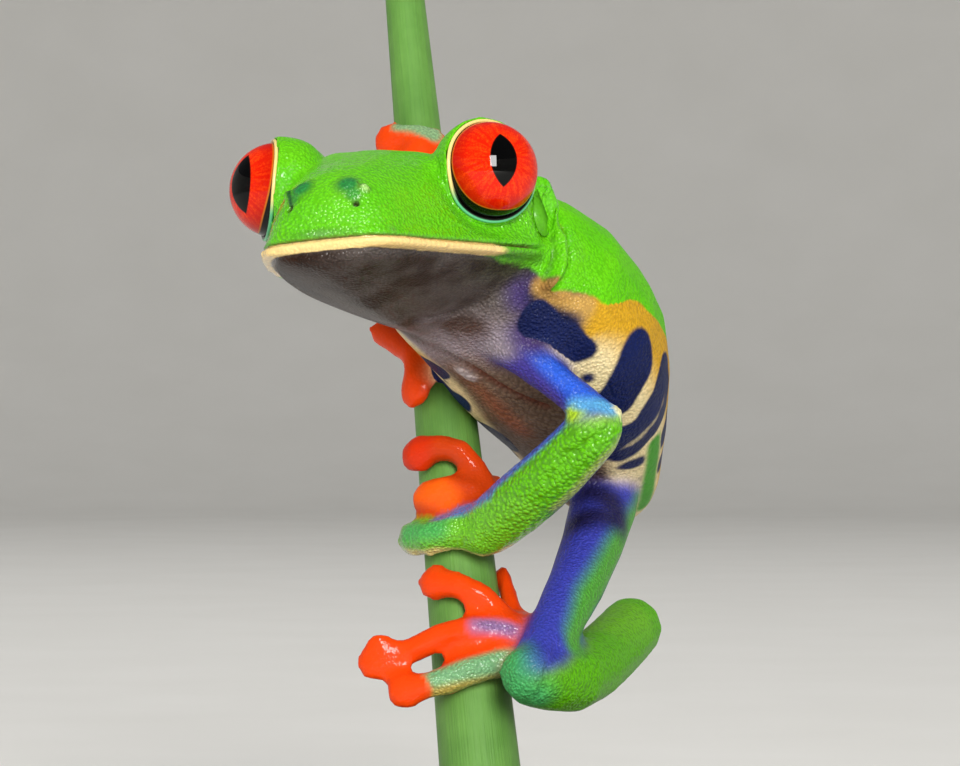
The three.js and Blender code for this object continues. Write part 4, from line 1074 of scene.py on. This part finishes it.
# Lid rim: a thin roll of wet bare skin, cream above and green below.
def rim_material():
    material, tree = new_material("wet_lid_rim")
    fine = noise(tree, object_place(tree), 4000.0, 2.0)
    return finish_material(material, stored(tree, "tint", "Color"), {
        "Roughness": 0.5, "IOR": 1.4, "Specular IOR Level": 0.3, "Normal": bump(tree, fine, 0.00005, 0.5),
        "Coat Weight": 0.6, "Coat Roughness": 0.12,
    })


def eyeball(side):
    """The ball, with the place of each vertex as seen along its gaze."""
    middle = eye_middle(side)
    look = look_of(side, PUPIL_LOOK_OUT[side], PUPIL_LOOK_UP)
    across = unit(np.cross(HEAD_AXES[2], look))
    turn = Matrix((across, np.cross(look, across), look)).transposed().to_4x4()
    bm = bmesh.new()
    bmesh.ops.create_uvsphere(bm, u_segments=96, v_segments=64, radius=EYE_RADIUS - 0.01)
    local = np.array([tuple(v.co) for v in bm.verts])
    bmesh.ops.transform(bm, matrix=Matrix.Translation(Vector(middle)) @ turn, verts=bm.verts)
    return bm, local


# Radius that the roll is spun at before it is fitted.
RING = 6


def lid_ring(side):
    """A roll spun round the way the lids look and fitted to their opening, with each vertex's colour:
    cream above, and below a green rim whose inner side is painted near black: painted shadow of the gap between lid and
    ball."""
    bm = bmesh.new()
    section = Matrix.Translation((RING, 0, 0)) @ Matrix.Rotation(math.pi / 2, 4, "X")
    bmesh.ops.create_circle(bm, segments=14, radius=1, matrix=section)
    bmesh.ops.spin(bm, geom=bm.verts[:] + bm.edges[:], cent=(0, 0, 0), axis=(0, 0, 1), angle=math.tau, steps=144,
                   use_merge=True)
    bmesh.ops.remove_doubles(bm, verts=bm.verts, dist=1e-5)
    middle = eye_middle(side)
    look, noseward, upward = lid_axes(side)
    down, inner = [], []
    for vertex in bm.verts:
        x, y, z = vertex.co
        around = math.atan2(y, x)
        across = math.hypot(x, y) - RING
        down.append(-math.cos(around))
        inner.append(across)
        fuller = 0.75 + 0.3 * float(smooth_step(0.1, 0.6, down[-1]))
        reach = EYE_RADIUS + (RIM_LIFT + across * RIM_THICK) * fuller
        turn = math.radians(float(round_eye(LID_RIMS[side], np.array(around)))) + z * RIM_WIDE / reach
        outward = noseward * math.sin(around) + upward * math.cos(around)
        vertex.co = Vector(middle + (look * math.cos(turn) + outward * math.sin(turn)) * reach)
    bmesh.ops.recalc_face_normals(bm, faces=bm.faces)
    green = smooth_step(0.2, 0.6, np.array(down))
    color = mix(plain("#e8cc80", len(green)), "#58b47c", green)
    # The inner side of the lower rim is painted near black: painted shadow of the gap between lid and ball.
    return bm, mix(color, "#0a0805", green * smooth_step(0.35, 0.05, np.array(inner)))


class FROG_OT_eyes(bpy.types.Operator):
    """Set a wet, red-irised ball and a rolled lid rim in each socket"""

    bl_idname = "frog.eyes"
    bl_label = "Eyes"

    def execute(self, context):
        material, rim = eye_material(context.scene.frog_eyes), rim_material()
        for side, name in SIDES:
            bm, local = eyeball(side)
            world = np.array([tuple(v.co) for v in bm.verts])
            around = eye_around(world, side)
            inner = round_eye(IRIS_BORDERS[side], around) - eye_places(world, side)[1]
            piece = new_piece(name + "_eyeball", bm, material)
            write_attribute(piece.data, "gaze", local / PUPIL_SCALE[side], "FLOAT_VECTOR")
            write_attribute(piece.data, "iris_edge", inner)
            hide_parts(name + "_eye")
            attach(piece, "root")
            bm, tint = lid_ring(side)
            roll = new_piece(name + "_lid_rim", bm, rim)
            write_attribute(roll.data, "tint", tint, "FLOAT_COLOR")
            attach(roll, "root")
        return {"FINISHED"}


# Eardrum: a thin taut disc of olive skin, smoother than what is round it.
def eardrum_material():
    material, tree = new_material("taut_olive_eardrum")
    fine = noise(tree, object_place(tree), 2600.0, 3.0)
    return finish_material(material, blend(tree, fine, "#489612", "#5caa1c"), {
        "Roughness": 0.55, "IOR": 1.4, "Specular IOR Level": 0.3, "Normal": bump(tree, fine, 0.00012),
        "Coat Weight": 0.3, "Coat Roughness": 0.2,
    })


# Millimetres that the disc stands over its seat at the edge, that its dome adds, and its thickness.
DRUM_EDGE, DRUM_DOME, DRUM_THICK = 0.06, 0.16, 0.14


def drumskin(side):
    """A slightly domed disc on its flat seat behind an eye, with its border let into the skin."""
    middle, facing, across, upward = eardrum_axes(side)
    bm = bmesh.new()
    bmesh.ops.create_circle(bm, cap_ends=True, segments=48, radius=1)
    for _ in range(8):
        cap = max(bm.faces, key=lambda face: len(face.verts))
        bmesh.ops.inset_region(bm, faces=[cap], thickness=0.11)
    for vertex in bm.verts:
        x, y = vertex.co.x, vertex.co.y
        rise = DRUM_EDGE + DRUM_DOME * (1 - x * x - y * y)
        vertex.co = Vector(middle + across * x * EARDRUM_WIDE + upward * y * EARDRUM_HIGH + facing * rise)
    bmesh.ops.solidify(bm, geom=bm.faces[:], thickness=DRUM_THICK)
    bmesh.ops.recalc_face_normals(bm, faces=bm.faces)
    return bm


class FROG_OT_eardrums(bpy.types.Operator):
    """Lay a slightly domed eardrum on the skin behind each eye"""

    bl_idname = "frog.eardrums"
    bl_label = "Eardrums"

    def execute(self, context):
        material = eardrum_material()
        for side, name in SIDES:
            piece = new_piece(name + "_drumskin", drumskin(side), material)
            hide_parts(name + "_eardrum")
            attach(piece, "root")
        return {"FINISHED"}


# --- Perch and stand --------------------------------------------------------------------------


# Herbaceous stem: waxy green skin with fine veins that run along it.
def stem_material(settings):
    material, tree = new_material("waxy_green_stem")
    grain = stored(tree, "along", "Vector")
    veins = streaks(tree, grain, (7.0, 7.0, 0.05), 4.0)
    color = blend(tree, ramp(tree, veins, 0.3, 0.7), settings.stem, "#41702a")
    color = blend(tree, noise(tree, grain, 0.35, 3.0), color, "#6f9f4a")
    return finish_material(material, color, {
        "Roughness": 0.5, "IOR": 1.42, "Normal": bump(tree, veins, 0.00012, 0.7),
        "Subsurface Weight": 0.1, "Subsurface Radius": (0.5, 1.0, 0.3), "Subsurface Scale": 0.0006,
    })


def stem_axes():
    way = unit(STEM_LEAN)
    right = unit(np.array((1.0, 0.0, 0.0)) - way * way[0])
    return way, right, np.cross(right, way)


class FROG_OT_perch(bpy.types.Operator):
    """Grow the cut stem that the frog grips"""

    bl_idname = "frog.perch"
    bl_label = "Perch stem"

    def execute(self, context):
        way, right, front = stem_axes()
        bm = bmesh.new()
        bmesh.ops.create_cone(bm, cap_ends=True, segments=64, radius1=1, radius2=1, depth=STEM_TOP - STEM_BOTTOM)
        long_edges = [e for e in bm.edges if abs(e.verts[0].co.z - e.verts[1].co.z) > 1]
        bmesh.ops.subdivide_edges(bm, edges=long_edges, cuts=40, use_grid_fill=False)
        caps = [f for f in bm.faces if abs(f.normal.z) > 0.9]
        bmesh.ops.inset_region(bm, faces=caps, thickness=0.12)
        along = []
        for vertex in bm.verts:
            height = vertex.co.z + (STEM_BOTTOM + STEM_TOP) / 2
            turn = math.atan2(vertex.co.x, -vertex.co.y)
            lobes = STEM_LOBE_DEPTH * math.cos(STEM_LOBES * turn)
            grooves = STEM_GROOVE_DEPTH * (1 + math.cos(STEM_GROOVES * turn))
            taper = STEM_FOOT_RADIUS - STEM_TAPER * (height - STEM_FOOT[2])
            radius = math.hypot(vertex.co.x, vertex.co.y) * taper * (1 + lobes - grooves)
            across, ahead = radius * math.sin(turn), radius * math.cos(turn)
            along.append((across, ahead, height))
            middle = STEM_FOOT + STEM_LEAN * (height - STEM_FOOT[2])
            vertex.co = Vector(middle + right * across + front * ahead)
        bmesh.ops.recalc_face_normals(bm, faces=bm.faces)
        piece = new_piece("stem", bm, stem_material(context.scene.frog_perch))
        write_attribute(piece.data, "along", along, "FLOAT_VECTOR")
        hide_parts("perch_stem")
        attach(piece, "root")
        return {"FINISHED"}


# Oiled walnut: dark pores and streaks along the board under a low satin sheen.
def walnut_material(settings):
    material, tree = new_material("oiled_walnut")
    spot = object_place(tree)
    figure = streaks(tree, spot, (60.0, 700.0, 500.0), 6.0, Distortion=0.6)
    dark_hollows = streaks(tree, spot, (350.0, 4200.0, 3000.0), 2.0)
    color = blend(tree, ramp(tree, figure, 0.3, 0.72), settings.walnut, "#2f1c10")
    color = blend(tree, ramp(tree, dark_hollows, 0.56, 0.7, 0.0, 0.6), color, "#1d110a")
    return finish_material(material, color, {
        "Roughness": 0.42, "IOR": 1.5, "Normal": bump(tree, dark_hollows, 0.00004, 0.5),
        "Coat Weight": 0.15, "Coat Roughness": 0.3,
    })


# Satin brass: turned on a lathe, so fine rings run round it and soften the shine.
def brass_material(settings):
    material, tree = new_material("satin_turned_brass")
    rings = streaks(tree, object_place(tree), (40.0, 40.0, 5200.0), 2.0)
    return finish_material(material, linear(settings.brass) + (1.0,), {
        "Metallic": 1.0, "Roughness": ramp(tree, rings, 0.3, 0.7, 0.24, 0.36),
        "Normal": bump(tree, rings, 0.00002, 0.4),
    })


# Matt studio floor with the faintest cloudiness.
def floor_material(settings):
    material, tree = new_material("pale_studio_floor")
    color = blend(tree, noise(tree, object_place(tree), 30.0, 3.0), settings.floor, "#e4e2dd")
    return finish_material(material, color, {"Roughness": 0.8})


def turned(rows, segments=128):
    """A closed turned form from rows of radius and height, spun round +Z."""
    bm = bmesh.new()
    verts = [bm.verts.new((radius, 0, height)) for radius, height in rows]
    edges = [bm.edges.new(pair) for pair in zip(verts, verts[1:])]
    bmesh.ops.spin(bm, geom=verts + edges, cent=(0, 0, 0), axis=(0, 0, 1), angle=math.tau, steps=segments,
                   use_merge=True)
    bmesh.ops.remove_doubles(bm, verts=bm.verts, dist=1e-5)
    bmesh.ops.recalc_face_normals(bm, faces=bm.faces)
    return bm


# The outline of the base, as radius and height.
BASE_OUTLINE = [
    (0, 0), (33.4, 0), (33.8, 0.15), (34, 0.6), (34, 2.6), (33.8, 2.95), (33.2, 3.4), (32.9, 3.8), (32.4, 4.6),
    (31.7, 5.5), (30.8, 6.2), (29.9, 6.7), (29, 7), (0, 7),
]


class FROG_OT_stand(bpy.types.Operator):
    """Turn the walnut base, and give the model's rod with its cup a brass finish"""

    bl_idname = "frog.stand"
    bl_label = "Display stand"

    def execute(self, context):
        settings = context.scene.frog_perch
        base = new_piece("base", turned(BASE_OUTLINE), walnut_material(settings))
        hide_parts("stand_base")
        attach(base, "root")
        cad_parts["stand_rod"].data.materials.clear()
        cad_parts["stand_rod"].data.materials.append(brass_material(settings))
        return {"FINISHED"}


# --- Stage ------------------------------------------------------------------------------------

CAMERA_AT = (-0.003, -0.314, 0.047)
LENS_MM, SENSOR_MM = 148.5, 36
# Radius of the curve where the floor turns up, and the height it rises to.
COVE, COVE_TOP = 400, 700
# Where the lights aim, in metres; then each light's name, place, size, watts and tone.
LIGHT_AIM = (0, 0, 0.05)
LIGHTS = [
    ("key", (0.14, -0.86, 0.37), (0.24, 0.42), 10.5, (1.0, 0.99, 0.97)),
    ("overhead", (-0.1, 0.35, 1.0), (0.9, 0.9), 6.5, (1.0, 1.0, 1.0)),
    ("fill", (-0.85, -0.35, 0.3), (0.6, 0.6), 2.0, (0.95, 0.97, 1.0)),
]
SKY_TONE, SKY_STRENGTH = (0.9, 0.93, 1.0, 1.0), 0.13


class FROG_OT_stage(bpy.types.Operator):
    """Lay the pale floor, hang the soft lights and set the camera"""

    bl_idname = "frog.stage"
    bl_label = "Stage"

    def execute(self, context):
        scene = context.scene
        camera = bpy.data.objects.new("camera", bpy.data.cameras.new("camera"))
        camera.location = CAMERA_AT
        camera.rotation_euler = (math.pi / 2, 0, 0)
        camera.data.lens, camera.data.sensor_width = LENS_MM, SENSOR_MM
        camera.data.clip_start, camera.data.clip_end = 0.01, 20
        scene.collection.objects.link(camera)
        scene.camera = camera

        reach = scene.frog_stage.reach / MM
        rows = [(0, 0), (reach, 0)]
        rows += [(reach + COVE * math.sin(a), COVE - COVE * math.cos(a)) for a in np.linspace(0.1, math.pi / 2, 14)]
        rows.append((reach + COVE, COVE_TOP))
        floor = new_piece("floor", turned(rows, 96), floor_material(scene.frog_stage))

        for name, spot, (wide, high), power, tone in LIGHTS:
            data = bpy.data.lights.new(name, "AREA")
            data.shape = "RECTANGLE"
            data.size, data.size_y, data.energy, data.color = wide, high, power, tone
            light = bpy.data.objects.new(name, data)
            light.location = spot
            light.rotation_euler = (Vector(LIGHT_AIM) - Vector(spot)).to_track_quat("-Z", "Y").to_euler()
            light.visible_camera = False
            light.visible_glossy = name == "key"
            scene.collection.objects.link(light)
        scene.view_settings.view_transform = "Standard"
        world = bpy.data.worlds.new("studio")
        world.use_nodes = True
        background = world.node_tree.nodes["Background"]
        background.inputs[0].default_value, background.inputs[1].default_value = SKY_TONE, SKY_STRENGTH
        scene.world = world
        return {"FINISHED"}


# --- Add-on layout ----------------------------------------------------------------------------


class FROG_PT_panel(bpy.types.Panel):
    bl_label = "Tree frog"
    bl_idname = "FROG_PT_panel"
    bl_space_type = "VIEW_3D"
    bl_region_type = "UI"
    bl_category = "Tree frog"

    def draw(self, context):
        layout = self.layout
        for owner, operators in SECTIONS:
            box = layout.box()
            settings = getattr(context.scene, owner)
            for name in settings.__annotations__:
                box.prop(settings, name)
            for operator in operators:
                box.operator(operator)


SETTINGS = [
    ("frog_skin", FrogSkinSettings), ("frog_eyes", FrogEyeSettings),
    ("frog_perch", FrogPerchSettings), ("frog_stage", FrogStageSettings),
]
SECTIONS = [
    ("frog_stage", ["frog.stage"]), ("frog_skin", ["frog.skin"]),
    ("frog_eyes", ["frog.eyes", "frog.eardrums"]), ("frog_perch", ["frog.perch", "frog.stand"]),
]
CLASSES = [
    FrogSkinSettings, FrogEyeSettings, FrogPerchSettings, FrogStageSettings, FROG_OT_skin, FROG_OT_eyes,
    FROG_OT_eardrums, FROG_OT_perch, FROG_OT_stand, FROG_OT_stage, FROG_PT_panel,
]


def register():
    for cls in CLASSES:
        bpy.utils.register_class(cls)
    for name, kind in SETTINGS:
        setattr(bpy.types.Scene, name, PointerProperty(type=kind))


def unregister():
    for name, _ in SETTINGS:
        delattr(bpy.types.Scene, name)
    for cls in reversed(CLASSES):
        bpy.utils.unregister_class(cls)


def main():
    register()
    bpy.ops.frog.stage()
    bpy.ops.frog.skin()
    bpy.ops.frog.eyes()
    bpy.ops.frog.eardrums()
    bpy.ops.frog.perch()
    bpy.ops.frog.stand()


if __name__ == "__main__":
    main()
